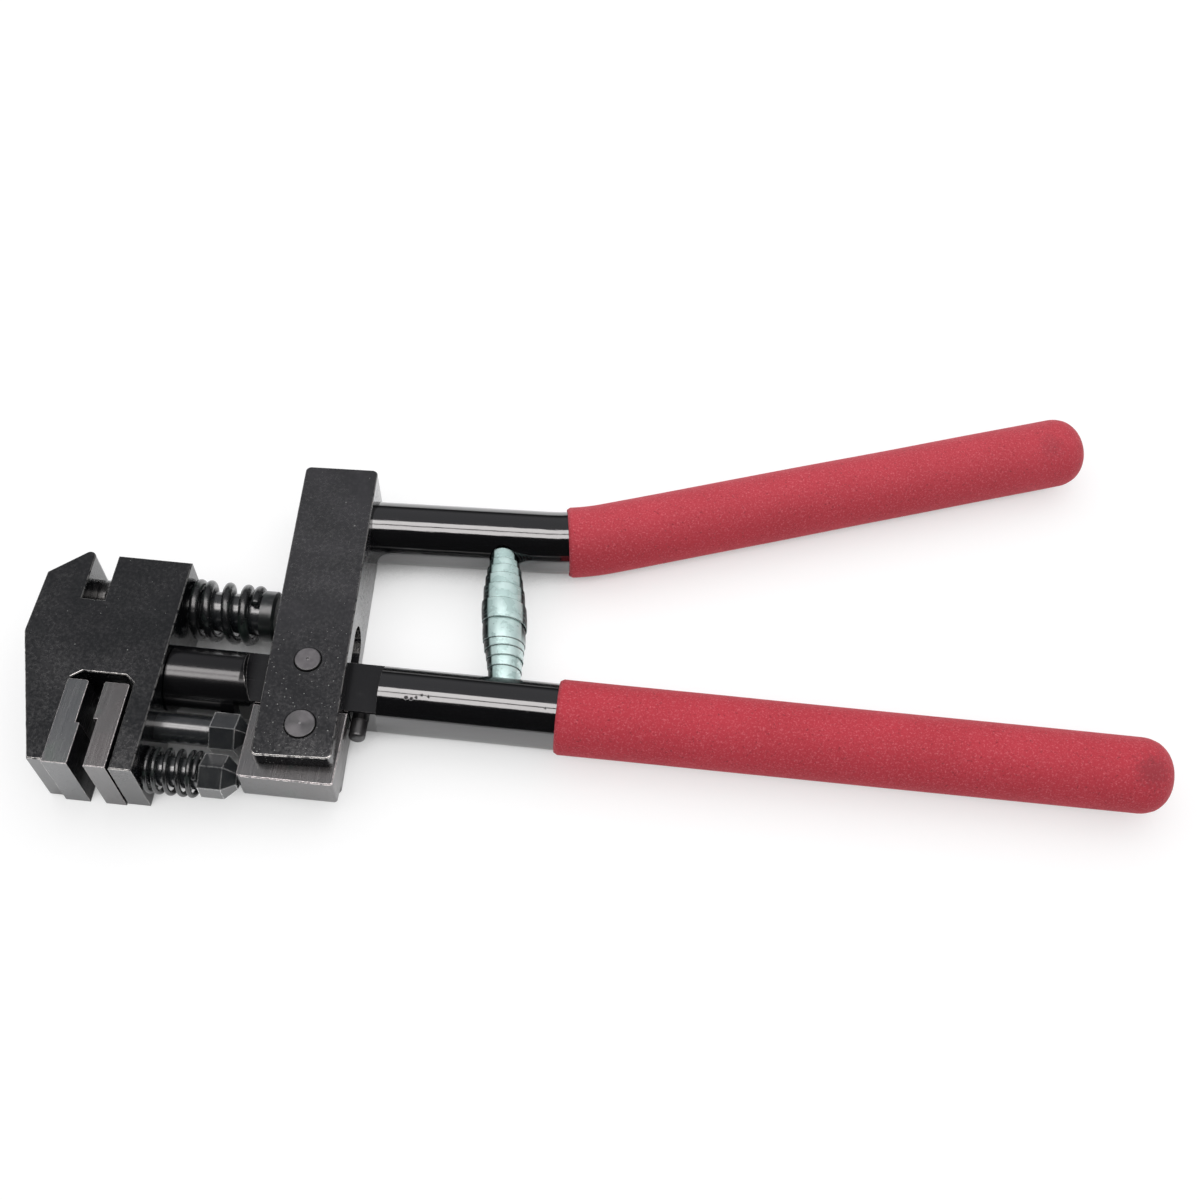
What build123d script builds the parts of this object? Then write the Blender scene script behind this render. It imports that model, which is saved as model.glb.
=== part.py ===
"""Hand pliers that punch a round hole in sheet metal or set a joggled flange along its edge.

The long round bar is the backbone: its left end carries the working head, which swivels half a
turn to bring either the joggle dies or the punch in front of the pusher, its middle is milled
flat inside the forked lever, and its right end is the lower handle. Squeezing the handles turns
the lever on its pivot pin, and the pusher in the fork drives the plungers of the head leftwards.

Frame: millimetres, +X along the bar towards the handles, +Y from the lower handle towards the
upper one, +Z up. The origin is where the pivot pin's axis meets the plane the pliers rest on.
"""

import os
from math import asin, cos, degrees, radians, sin, sqrt

from build123d import *

os.makedirs("parts", exist_ok=True)

# ---------------------------------------------------------------- driving dimensions
block_thickness = 22.0  # head and lever blocks, which both rest on the Z = 0 plane
edge_break = 0.4  # worn round corner of the machined blocks
running_clearance = 0.05  # radial, between a pin or shaft and the hole it moves in
side_clearance = 0.2  # between flat faces that slide past each other
contact_gap = 0.3  # between pieces of different bodies that nearly touch at rest

# Backbone bar
bar_radius = 9.0
bar_axis_y = -3.8  # the pivot pin passes above the middle of the bar
bar_flats_thickness = 11.0
flats_left_margin = 6.9  # from the lever's left side to the deepest point of the shoulder
flats_right_margin = 9.2
left_shoulder_radius = 28.0
left_shoulder_centre_y = 2.0
guide_flat_depth = 1.6  # milled off the bar's lower side, where the pusher slides along it
guide_flat_margin = 5.5  # beyond the pusher's left face
spigot_radius = 4.5
spigot_length = 18.4
groove_depth = 1.0
groove_width = 3.4
groove_from_shoulder = 10.4
stop_pin_radius = 2.25
stop_pin_rounding = 1.1
stop_pin_reach = 5.4  # beyond the guide flat
stop_pin_seat = 7.0  # inside the bar

# Working head, whose lengths run leftwards from its right face
head_right_x = -37.6
head_length = 38.95
head_front_length = 27.2
head_corner_rise = 4.2  # of the left corner, above the bar's axis
head_top_margin = 8.2  # above the punch's axis
head_front_margin = 5.1  # below the spring plunger's axis
head_foot_drop = 0.65  # the wall right of the die slot reaches this much further
head_side_rounding = 5.0
head_corner_rounding = 0.8
punch_block_length = 20.5  # from the right face to the throat
throat_floor_margin = 0.55  # below the bushes
sheet_gap = 1.5  # between the bush faces
horn_tip_rise = 0.6
horn_tip_width = 2.2
horn_tip_rounding = 1.6
horn_root_width = 11.5
horn_root_rise = 23.1  # above the bar's axis
die_slot_wall = 6.0  # between the die slot and the right face
die_slot_roof = 1.55  # between the die slot and the spigot's bore
die_slot_chamfer_x = 2.6
die_slot_chamfer_y = 2.0
retaining_screw_radius = 2.5
retaining_screw_tip_radius = 1.5
retaining_screw_recess = 0.6
retaining_screw_socket_radius = 1.3
retaining_screw_socket_depth = 2.5

# Joggle dies
die_stand = 1.2  # above the head's upper face
die_front_stand = 1.0  # below the head's front side
die_length = 24.1
die_edge_break = 0.2
die_corner_rounding = 0.6
die_step = 1.05
die_step_offset = 1.4  # the two steps are this far apart along the dies
fixed_die_width = 5.6
fixed_die_step_height = 11.8
moving_die_width = 6.6
moving_die_back_gap = 0.4
joggle_gap = 4.2
die_screw_radius = 2.0
die_screw_head_radius = 3.5
die_screw_head_height = 3.2
die_screw_socket_radius = 1.7
die_screw_socket_depth = 1.6
die_screw_grip = 3.6  # wall left under the screw's head
die_screw_engagement = 3.8
die_screw_pitch = 12.0

# Plungers of the moving die
plunger_spigot_radius = 3.0
plunger_spigot_length = 5.0
drive_plunger_radius = 4.0
drive_hex_across = 10.0
drive_hex_length = 9.5
drive_hex_point = 2.8
drive_hex_taper = 45.0
drive_hex_turn = -20.0
spring_plunger_radius = 4.0
spring_hex_across = 10.0
spring_hex_length = 9.4
spring_hex_point = 3.3
spring_hex_taper = 38.0
spring_hex_turn = 30.0
joggle_spring_outer_radius = 6.25
joggle_spring_wire = 1.4
joggle_spring_turns = 5.3

# Punch
punch_rise = 22.1  # of its axis above the bar's
punch_tip_radius = 2.5
punch_tip_recess = 0.5  # behind the face of its guide bush
punch_shoulder_gap = 5.5  # from the guide bush to the shaft's shoulder
punch_shaft_radius = 5.5
punch_tail_radius = 4.0
punch_collar_radius = 7.1
punch_collar_length = 4.1
punch_collar_chamfer = 0.8
bush_radius = 5.65
guide_bush_depth = 6.1
guide_bush_stand = 1.2
die_bush_depth = 3.6
die_bush_stand = 3.6
die_bush_groove_depth = 0.55
die_bush_groove_width = 0.8
die_bore_clearance = 0.08
slug_hole_radius = 3.2
punch_spring_outer_radius = 8.6
punch_spring_wire = 2.6
punch_spring_turns = 4.3

# Lever, seen along its own length; it stands a little open when the pliers are at rest
lever_rest_angle = 2.7
lever_left_width = 10.4
lever_right_width = 10.3
lever_bottom_margin = 9.4  # below the pusher pin
lever_top_margin = 14.2  # above the upper handle's axis
lever_corner_radius = 1.6
lever_slot_margin = 11.5  # above the bar
pivot_pin_radius = 3.0
pivot_pin_head_step = 0.5
pivot_pin_stand = 0.6
centre_mark_radius = 0.45
centre_mark_taper = 30.0
pusher_pin_offset = 0.95
pusher_pin_drop = 19.0
pusher_pin_radius = 4.0
pusher_pin_stand = 0.5
pusher_pin_rounding = 0.25

# Pusher
pusher_left_reach = 14.85  # from the pusher pin's axis
pusher_right_reach = 10.35
pusher_top_gap = 0.5  # to the bar's guide flat
pusher_front_margin = 1.7  # below the spring plunger's axis
pusher_corner_radius = 0.9

# Handles and grips
upper_handle_axis = 49.2  # distance of the straight part above the pivot, along the lever
handle_spigot_radius = 6.0
handle_spigot_length = 13.0
upper_bend_start = 60.0
upper_bend_radius = 60.0
upper_bend_angle = 17.0
grip_wall = 1.2
grip_end_radius = 8.0
grip_end_wall = 7.0
grip_sleeve_clearance = 0.05
lower_grip_start_x = 66.9
lower_grip_length = 163.3
upper_grip_start = 66.0
upper_grip_straight = 147.4

# Volute return spring between the handles
volute_lower_x = 51.5
volute_upper_along = 48.2  # along the upper handle
volute_lean_z = 2.4  # the upper end sits this much higher
volute_turn_radii = (4.4, 4.75, 5.1, 5.5, 5.9, 6.4, 5.75, 5.3, 4.9, 4.3, 3.5)
volute_turn_ends = (0.103, 0.171, 0.239, 0.292, 0.437, 0.571, 0.705, 0.788, 0.852, 0.912, 1.0)  # of its length
volute_bore_radius = 1.6
volute_seat_depth = 1.5
volute_upper_seat_depth = 3.2
volute_seat_clearance = 0.5

# ---------------------------------------------------------------- derived places
mid_height = block_thickness / 2
flats_half = bar_flats_thickness / 2
slot_half = flats_half + side_clearance
bar_low_y = bar_axis_y - bar_radius
bar_high_y = bar_axis_y + bar_radius
guide_flat_y = bar_low_y + guide_flat_depth
groove_radius = spigot_radius - groove_depth
flats_left_x = -lever_left_width - flats_left_margin
flats_right_x = lever_right_width + flats_right_margin

# The drive plunger runs just clear of the bar, and the spring just clear of the drive plunger
hex_corner_angle = 30.0
drive_hex_corner = drive_hex_across / 2 / cos(radians(hex_corner_angle))
drive_plunger_y = bar_low_y - side_clearance - drive_hex_corner
spring_plunger_y = (
    drive_plunger_y - drive_hex_corner - side_clearance - joggle_spring_outer_radius
)

# Head, from its right face leftwards and from its two working axes
bar_shoulder_x = head_right_x + contact_gap
groove_x = bar_shoulder_x - groove_from_shoulder
punch_axis_y = bar_axis_y + punch_rise
head_top_y = punch_axis_y + head_top_margin
head_front_y = spring_plunger_y - head_front_margin
head_foot_y = head_front_y - head_foot_drop
throat_width = die_bush_stand + sheet_gap + guide_bush_stand
throat_right_x = head_right_x - punch_block_length
throat_left_x = throat_right_x - throat_width
throat_floor_y = punch_axis_y - bush_radius - throat_floor_margin
horn_tip_y = head_top_y + horn_tip_rise
head_left_x = head_right_x - head_length
die_slot_width = fixed_die_width + joggle_gap + moving_die_width + moving_die_back_gap
die_slot_right_x = head_right_x - die_slot_wall
die_slot_left_x = die_slot_right_x - die_slot_width
die_slot_end_y = bar_axis_y - spigot_radius - running_clearance - die_slot_roof

# Dies
die_height = block_thickness + die_stand
die_front_y = head_front_y - die_front_stand
die_top_y = die_front_y + die_length
fixed_die_step_y = die_front_y + fixed_die_step_height
fixed_die_face_x = die_slot_left_x + fixed_die_width
moving_die_face_x = fixed_die_face_x + joggle_gap
moving_die_back_x = moving_die_face_x + moving_die_width
moving_step_y = fixed_die_step_y + die_step_offset
die_screw_y = die_front_y + die_length / 2

lever_plane = Plane.XY.rotated((0, 0, lever_rest_angle))
lever_middle_plane = Plane(
    origin=(0, 0, mid_height), x_dir=lever_plane.x_dir, z_dir=(0, 0, 1)
)
rest_turn = radians(lever_rest_angle)
pusher_pin_x = pusher_pin_offset * cos(rest_turn) + pusher_pin_drop * sin(rest_turn)
pusher_pin_y = pusher_pin_offset * sin(rest_turn) - pusher_pin_drop * cos(rest_turn)
pusher_left_x = pusher_pin_x - pusher_left_reach
pusher_right_x = pusher_pin_x + pusher_right_reach
pusher_top_y = guide_flat_y - pusher_top_gap
pusher_front_y = spring_plunger_y - pusher_front_margin
guide_flat_left_x = pusher_left_x - guide_flat_margin
stop_pin_x = pusher_right_x + contact_gap + stop_pin_radius

# The plungers and the punch end just short of the pusher
plunger_end_x = pusher_left_x - contact_gap
drive_hex_x = plunger_end_x - drive_hex_length
spring_hex_x = plunger_end_x - spring_hex_length
punch_collar_x = plunger_end_x - punch_collar_length
guide_bush_face_x = throat_right_x - guide_bush_stand
guide_bush_back_x = throat_right_x + guide_bush_depth
punch_tip_x = guide_bush_face_x + punch_tip_recess
punch_shoulder_x = guide_bush_back_x + punch_shoulder_gap

lever_bottom = -pusher_pin_drop - lever_bottom_margin
lever_top = upper_handle_axis + lever_top_margin
lever_slot_end = bar_high_y + lever_slot_margin
pivot_pin_head_radius = pivot_pin_radius + pivot_pin_head_step
grip_bore_radius = bar_radius + grip_sleeve_clearance
grip_radius = grip_bore_radius + grip_wall
lower_core_length = lower_grip_length - grip_end_wall
bar_end_x = lower_grip_start_x + lower_core_length


def facing_x(x, y):
    """Plane at the blocks' mid-height that faces +X, with its own X along the row's Y."""
    return Plane(origin=(x, y, mid_height), x_dir=(0, 1, 0), z_dir=(1, 0, 0))


def lever_facing_x(along, above):
    """The same kind of plane in the lever's turned frame."""
    origin = lever_middle_plane.from_local_coords((along, above, 0))
    return Plane(origin=origin, x_dir=lever_plane.y_dir, z_dir=lever_plane.x_dir)


def coil_route(axis_y, outer_radius, wire, turns, end_x):
    """Centre line of a coil spring that stands on the head's right face and reaches end_x."""
    length = end_x - head_right_x - wire
    return Helix(
        pitch=length / turns,
        height=length,
        radius=outer_radius - wire / 2,
        center=(head_right_x + wire / 2, axis_y, mid_height),
        direction=(1, 0, 0),
    )


def left_shoulder_x(y):
    """Where the curved left end of the bar's flats lies at one height of the bar."""
    rise = y - left_shoulder_centre_y
    return flats_left_x + left_shoulder_radius - sqrt(left_shoulder_radius**2 - rise**2)


# Axis of the volute spring, from the lower bar's upper side to the upper handle's lower side
volute_foot = Vector(volute_lower_x, bar_axis_y + bar_radius, mid_height)
volute_head = lever_middle_plane.from_local_coords(
    Vector(volute_upper_along, upper_handle_axis - bar_radius, volute_lean_z)
)
volute_axis = (volute_head - volute_foot).normalized()
volute_start = volute_foot - volute_axis * (volute_seat_depth - contact_gap)
volute_end = volute_head + volute_axis * (volute_upper_seat_depth - contact_gap)
volute_length = (volute_end - volute_start).length


def spring_plane(point):
    """Plane square to the volute spring's axis, through one of its points."""
    return Plane(origin=point, z_dir=volute_axis)


# ---------------------------------------------------------------- backbone bar
with BuildPart() as central_bar:
    with BuildSketch(facing_x(bar_shoulder_x, bar_axis_y)):
        Circle(bar_radius)
    extrude(amount=bar_end_x - bar_shoulder_x)
    with BuildSketch(facing_x(bar_shoulder_x, bar_axis_y)):
        Circle(spigot_radius)
    extrude(amount=-spigot_length)
    # Annular groove that the retaining screw rides in
    with BuildSketch(facing_x(groove_x, bar_axis_y)):
        Circle(spigot_radius + contact_gap)
        Circle(groove_radius, mode=Mode.SUBTRACT)
    extrude(amount=groove_width / 2, both=True, mode=Mode.SUBTRACT)
    # Flats above and below, curved at the left shoulder and square at the right one
    for side in (1, -1):
        with BuildSketch(Plane.XY.offset(mid_height + side * flats_half)):
            with BuildLine():
                ThreePointArc(
                    (left_shoulder_x(bar_low_y), bar_low_y),
                    (left_shoulder_x(bar_axis_y), bar_axis_y),
                    (left_shoulder_x(bar_high_y), bar_high_y),
                )
                Polyline(
                    (left_shoulder_x(bar_high_y), bar_high_y),
                    (flats_right_x, bar_high_y),
                    (flats_right_x, bar_low_y),
                    (left_shoulder_x(bar_low_y), bar_low_y),
                )
            make_face()
        extrude(amount=side * bar_radius, mode=Mode.SUBTRACT)
    # Guide flat along the lower side
    with BuildSketch(Plane.XY):
        with Locations((guide_flat_left_x, guide_flat_y)):
            Rectangle(
                flats_right_x - guide_flat_left_x,
                bar_radius,
                align=(Align.MIN, Align.MAX),
            )
    extrude(amount=block_thickness, mode=Mode.SUBTRACT)
    # Pivot hole and the stop pin's blind hole
    with BuildSketch(Plane.XY):
        Circle(pivot_pin_radius + running_clearance)
    extrude(amount=block_thickness, mode=Mode.SUBTRACT)
    with BuildSketch(Plane(origin=(stop_pin_x, guide_flat_y, mid_height), z_dir=(0, 1, 0))):
        Circle(stop_pin_radius)
    extrude(amount=stop_pin_seat, mode=Mode.SUBTRACT)
    # Seat of the volute spring
    with BuildSketch(spring_plane(volute_foot).offset(-volute_seat_depth)):
        Circle(volute_turn_radii[0] + volute_seat_clearance)
    extrude(amount=volute_seat_depth + bar_radius, mode=Mode.SUBTRACT)
    chamfer(central_bar.edges().filter_by(GeomType.CIRCLE).sort_by(Axis.X)[0], edge_break)
central_bar.part.label = "central_bar"

with BuildPart() as stop_pin:
    with BuildSketch(Plane(origin=(stop_pin_x, guide_flat_y, mid_height), z_dir=(0, -1, 0))):
        Circle(stop_pin_radius)
    extrude(amount=stop_pin_reach)
    fillet(stop_pin.edges().sort_by(Axis.Y)[0], stop_pin_rounding)
    with BuildSketch(Plane(origin=(stop_pin_x, guide_flat_y, mid_height), z_dir=(0, 1, 0))):
        Circle(stop_pin_radius)
    extrude(amount=stop_pin_seat)
stop_pin.part.label = "stop_pin"

with BuildPart() as lower_grip:
    with BuildSketch(facing_x(lower_grip_start_x, bar_axis_y)):
        Circle(grip_radius)
    extrude(amount=lower_grip_length)
    fillet(lower_grip.edges().sort_by(Axis.X)[-1], grip_end_radius)
    with BuildSketch(facing_x(lower_grip_start_x, bar_axis_y)):
        Circle(grip_bore_radius)
    extrude(amount=lower_core_length, mode=Mode.SUBTRACT)
lower_grip.part.label = "lower_grip"

with BuildPart() as volute_spring:
    # Each turn of the strip shows as a band, the widest at the middle and narrower to both ends
    turn_start = 0.0
    for turn_radius, turn_end in zip(volute_turn_radii, volute_turn_ends):
        with BuildSketch(spring_plane(volute_start + volute_axis * (volute_length * turn_start))):
            Circle(turn_radius)
            Circle(volute_bore_radius, mode=Mode.SUBTRACT)
        extrude(amount=volute_length * (turn_end - turn_start))
        turn_start = turn_end
volute_spring.part.label = "volute_spring"

# ---------------------------------------------------------------- lever
with BuildPart() as lever_block:
    with BuildSketch(lever_plane):
        with Locations((-lever_left_width, lever_bottom)):
            Rectangle(
                lever_left_width + lever_right_width,
                lever_top - lever_bottom,
                align=(Align.MIN, Align.MIN),
            )
    extrude(amount=block_thickness)
    fillet(lever_block.edges().filter_by(Axis.Z), lever_corner_radius)
    fillet(lever_block.faces().sort_by(Axis.Z)[-1].edges(), edge_break)
    fillet(lever_block.faces().sort_by(Axis.Z)[0].edges(), edge_break)
    # Fork slot for the bar's flats and the pusher, with a round end
    slot_round_centre = lever_slot_end - slot_half
    with BuildSketch(lever_facing_x(-lever_left_width, 0)):
        with Locations((slot_round_centre, 0)):
            Circle(slot_half)
            Rectangle(
                slot_round_centre - lever_bottom,
                2 * slot_half,
                align=(Align.MAX, Align.CENTER),
            )
    extrude(amount=lever_left_width + lever_right_width, mode=Mode.SUBTRACT)
    # Pin holes: the pivot's head end is one size larger than its shank
    with BuildSketch(lever_plane):
        Circle(pivot_pin_radius)
        with Locations((pusher_pin_offset, -pusher_pin_drop)):
            Circle(pusher_pin_radius)
    extrude(amount=block_thickness, mode=Mode.SUBTRACT)
    with BuildSketch(lever_middle_plane):
        Circle(pivot_pin_head_radius)
    extrude(amount=mid_height, mode=Mode.SUBTRACT)
    # Socket of the upper handle
    with BuildSketch(lever_facing_x(lever_right_width, upper_handle_axis)):
        Circle(handle_spigot_radius)
    extrude(amount=-handle_spigot_length, mode=Mode.SUBTRACT)
lever_block.part.label = "lever_block"

with BuildPart() as pivot_pin:
    with BuildSketch(lever_plane):
        Circle(pivot_pin_radius)
    extrude(amount=block_thickness)
    with BuildSketch(lever_middle_plane.offset(slot_half)):
        Circle(pivot_pin_head_radius)
    extrude(amount=mid_height - slot_half + pivot_pin_stand)
    fillet(pivot_pin.edges().sort_by(Axis.Z)[-1], pivot_pin_stand / 2)
    with BuildSketch(lever_middle_plane.offset(mid_height + pivot_pin_stand)):
        Circle(centre_mark_radius)
    extrude(amount=-centre_mark_radius, taper=centre_mark_taper, mode=Mode.SUBTRACT)
pivot_pin.part.label = "pivot_pin"

with BuildPart() as pusher_pin:
    with BuildSketch(lever_plane):
        with Locations((pusher_pin_offset, -pusher_pin_drop)):
            Circle(pusher_pin_radius)
    extrude(amount=block_thickness + pusher_pin_stand)
    fillet(pusher_pin.edges().sort_by(Axis.Z)[-1], pusher_pin_rounding)
pusher_pin.part.label = "pusher_pin"


def handle_route(start_along, straight_length):
    """Centre line of the bent upper handle, from a point along it to its far end."""
    with BuildLine(lever_middle_plane) as route:
        turn = asin(max(0.0, start_along - upper_bend_start) / upper_bend_radius)
        bend_x = max(start_along, upper_bend_start)
        bend_y = upper_handle_axis + upper_bend_radius * (1 - cos(turn))
        if start_along < upper_bend_start:
            Line((start_along, upper_handle_axis), (bend_x, bend_y))
        bend = JernArc(
            start=(bend_x, bend_y),
            tangent=(cos(turn), sin(turn)),
            radius=upper_bend_radius,
            arc_size=upper_bend_angle - degrees(turn),
        )
        Line(bend @ 1, bend @ 1 + (bend % 1) * straight_length)
    return route.wires()[0]


with BuildPart() as upper_handle:
    handle_wire = handle_route(lever_right_width, upper_grip_straight - grip_end_wall)
    with BuildSketch(lever_facing_x(lever_right_width, upper_handle_axis)):
        Circle(bar_radius)
    sweep(path=handle_wire)
    with BuildSketch(lever_facing_x(lever_right_width, upper_handle_axis)):
        Circle(handle_spigot_radius)
    extrude(amount=-handle_spigot_length)
    with BuildSketch(spring_plane(volute_head).offset(volute_upper_seat_depth)):
        Circle(volute_turn_radii[-1] + volute_seat_clearance)
    extrude(amount=-volute_upper_seat_depth - bar_radius, mode=Mode.SUBTRACT)
upper_handle.part.label = "upper_handle"

with BuildPart() as upper_grip:
    grip_wire = handle_route(upper_grip_start, upper_grip_straight)
    grip_core_wire = handle_route(upper_grip_start, upper_grip_straight - grip_end_wall)
    grip_mouth = Plane(origin=grip_wire @ 0, z_dir=grip_wire % 0)
    with BuildSketch(grip_mouth):
        Circle(grip_radius)
    sweep(path=grip_wire)
    fillet(upper_grip.edges().filter_by(GeomType.CIRCLE).sort_by(Axis.X)[-1], grip_end_radius)
    with BuildSketch(grip_mouth):
        Circle(grip_bore_radius)
    sweep(path=grip_core_wire, mode=Mode.SUBTRACT)
upper_grip.part.label = "upper_grip"

# ---------------------------------------------------------------- pusher
with BuildPart() as pusher_block:
    with BuildSketch(Plane.XY.offset(mid_height - flats_half)):
        with Locations((pusher_left_x, pusher_front_y)):
            Rectangle(
                pusher_right_x - pusher_left_x,
                pusher_top_y - pusher_front_y,
                align=(Align.MIN, Align.MIN),
            )
    extrude(amount=bar_flats_thickness)
    fillet(pusher_block.edges().filter_by(Axis.Z).group_by(Axis.Y)[0], pusher_corner_radius)
    fillet(pusher_block.faces().sort_by(Axis.Z)[-1].edges(), edge_break)
    fillet(pusher_block.faces().sort_by(Axis.Z)[0].edges(), edge_break)
    with BuildSketch(Plane.XY):
        with Locations((pusher_pin_x, pusher_pin_y)):
            Circle(pusher_pin_radius + running_clearance)
    extrude(amount=block_thickness, mode=Mode.SUBTRACT)
pusher_block.part.label = "pusher_block"

# ---------------------------------------------------------------- working head
with BuildPart() as head_body:
    with BuildSketch(Plane.XY) as head_outline:
        with BuildLine():
            Polyline(
                (head_right_x, head_foot_y),
                (head_right_x, head_top_y),
                (throat_right_x, head_top_y),
                (throat_right_x, throat_floor_y),
                (throat_left_x, throat_floor_y),
                (throat_left_x, horn_tip_y),
                (throat_left_x - horn_tip_width, horn_tip_y),
                (throat_left_x - horn_root_width, bar_axis_y + horn_root_rise),
                (head_left_x, bar_axis_y + head_corner_rise),
                (head_right_x - head_front_length, head_front_y),
                (die_slot_right_x, head_front_y),
                (die_slot_right_x, head_foot_y),
                close=True,
            )
        make_face()
        fillet(head_outline.vertices().sort_by(Axis.X)[0], head_side_rounding)
        horn_tip, head_tops = head_outline.vertices().group_by(Axis.Y)[:-3:-1]
        fillet(horn_tip, horn_tip_rounding)
        fillet(head_tops, head_corner_rounding)
        # Slot for the joggle dies, open to the front, with cut inner corners
        with BuildLine():
            Polyline(
                (die_slot_left_x, head_foot_y),
                (die_slot_left_x, die_slot_end_y - die_slot_chamfer_y),
                (die_slot_left_x + die_slot_chamfer_x, die_slot_end_y),
                (die_slot_right_x - die_slot_chamfer_x, die_slot_end_y),
                (die_slot_right_x, die_slot_end_y - die_slot_chamfer_y),
                (die_slot_right_x, head_foot_y),
                close=True,
            )
        make_face(mode=Mode.SUBTRACT)
    extrude(amount=block_thickness)
    fillet(head_body.faces().sort_by(Axis.Z)[-1].edges(), edge_break)
    chamfer(head_body.faces().sort_by(Axis.Z)[0].edges(), edge_break)
    # Bore for the bar's spigot, and the retaining screw's hole up to it
    with BuildSketch(facing_x(head_right_x, bar_axis_y)):
        Circle(spigot_radius + running_clearance)
    extrude(amount=-spigot_length, mode=Mode.SUBTRACT)
    with BuildSketch(Plane.XY):
        with Locations((groove_x, bar_axis_y)):
            Circle(retaining_screw_radius)
    extrude(amount=mid_height, mode=Mode.SUBTRACT)
    # Punch side: shaft bore, the two bush seats and the slug's way out
    with BuildSketch(facing_x(head_right_x, punch_axis_y)):
        Circle(punch_shaft_radius + running_clearance)
    extrude(amount=guide_bush_back_x - head_right_x, mode=Mode.SUBTRACT)
    with BuildSketch(facing_x(guide_bush_back_x, punch_axis_y)):
        Circle(bush_radius)
    extrude(amount=-guide_bush_depth, mode=Mode.SUBTRACT)
    with BuildSketch(facing_x(throat_left_x, punch_axis_y)):
        Circle(bush_radius)
    extrude(amount=-die_bush_depth, mode=Mode.SUBTRACT)
    with BuildSketch(facing_x(throat_left_x, punch_axis_y)):
        Circle(slug_hole_radius)
    extrude(amount=head_left_x - throat_left_x, mode=Mode.SUBTRACT)
    # Plunger holes through the wall beside the die slot
    with BuildSketch(facing_x(head_right_x, drive_plunger_y)):
        Circle(drive_plunger_radius + running_clearance)
    extrude(amount=die_slot_right_x - head_right_x, mode=Mode.SUBTRACT)
    with BuildSketch(facing_x(head_right_x, spring_plunger_y)):
        Circle(spring_plunger_radius + running_clearance)
    extrude(amount=die_slot_right_x - head_right_x, mode=Mode.SUBTRACT)
    # Screw holes of the fixed die, counterbored from the slanted side
    with BuildSketch(facing_x(die_slot_left_x, die_screw_y)):
        with GridLocations(0, die_screw_pitch, 1, 2):
            Circle(die_screw_radius)
    extrude(amount=-die_screw_grip, mode=Mode.SUBTRACT)
    with BuildSketch(facing_x(die_slot_left_x - die_screw_grip, die_screw_y)):
        with GridLocations(0, die_screw_pitch, 1, 2):
            Circle(die_screw_head_radius + side_clearance)
    extrude(amount=head_left_x - die_slot_left_x, mode=Mode.SUBTRACT)
head_body.part.label = "head_body"

with BuildPart() as retaining_screw:
    screw_shank_top = mid_height - spigot_radius - contact_gap
    with BuildSketch(Plane.XY.offset(retaining_screw_recess)):
        with Locations((groove_x, bar_axis_y)):
            Circle(retaining_screw_radius)
    extrude(amount=screw_shank_top - retaining_screw_recess)
    with BuildSketch(Plane.XY.offset(screw_shank_top)):
        with Locations((groove_x, bar_axis_y)):
            Circle(retaining_screw_tip_radius)
    extrude(amount=mid_height - groove_radius - running_clearance - screw_shank_top)
    with BuildSketch(Plane.XY.offset(retaining_screw_recess)):
        with Locations((groove_x, bar_axis_y)):
            RegularPolygon(retaining_screw_socket_radius, 6)
    extrude(amount=retaining_screw_socket_depth, mode=Mode.SUBTRACT)
retaining_screw.part.label = "retaining_screw"

with BuildPart() as die_bush:
    with BuildSketch(facing_x(throat_left_x - die_bush_depth, punch_axis_y)):
        Circle(bush_radius)
    extrude(amount=die_bush_depth + die_bush_stand)
    with BuildSketch(facing_x(throat_left_x + die_bush_stand / 2, punch_axis_y)):
        Circle(bush_radius)
        Circle(bush_radius - die_bush_groove_depth, mode=Mode.SUBTRACT)
    extrude(amount=die_bush_groove_width / 2, both=True, mode=Mode.SUBTRACT)
    with BuildSketch(facing_x(throat_left_x - die_bush_depth, punch_axis_y)):
        Circle(punch_tip_radius + die_bore_clearance)
    extrude(amount=die_bush_depth + die_bush_stand, mode=Mode.SUBTRACT)
die_bush.part.label = "die_bush"

with BuildPart() as guide_bush:
    with BuildSketch(facing_x(guide_bush_back_x, punch_axis_y)):
        Circle(bush_radius)
        Circle(punch_tip_radius + running_clearance, mode=Mode.SUBTRACT)
    extrude(amount=guide_bush_face_x - guide_bush_back_x)
guide_bush.part.label = "guide_bush"

with BuildPart() as fixed_die:
    with BuildSketch(Plane.XY):
        with BuildLine():
            Polyline(
                (die_slot_left_x, die_top_y),
                (fixed_die_face_x, die_top_y),
                (fixed_die_face_x, fixed_die_step_y),
                (fixed_die_face_x + die_step, fixed_die_step_y),
                (fixed_die_face_x + die_step, die_front_y),
                (die_slot_left_x, die_front_y),
                close=True,
            )
        make_face()
    extrude(amount=die_height)
    fillet(fixed_die.edges().filter_by(Axis.Z).group_by(Axis.Y)[-1], die_corner_rounding)
    fillet(fixed_die.faces().sort_by(Axis.Z)[-1].edges(), die_edge_break)
    with BuildSketch(facing_x(die_slot_left_x, die_screw_y)):
        with GridLocations(0, die_screw_pitch, 1, 2):
            Circle(die_screw_radius)
    extrude(amount=die_screw_engagement, mode=Mode.SUBTRACT)
fixed_die.part.label = "fixed_die"

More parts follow.
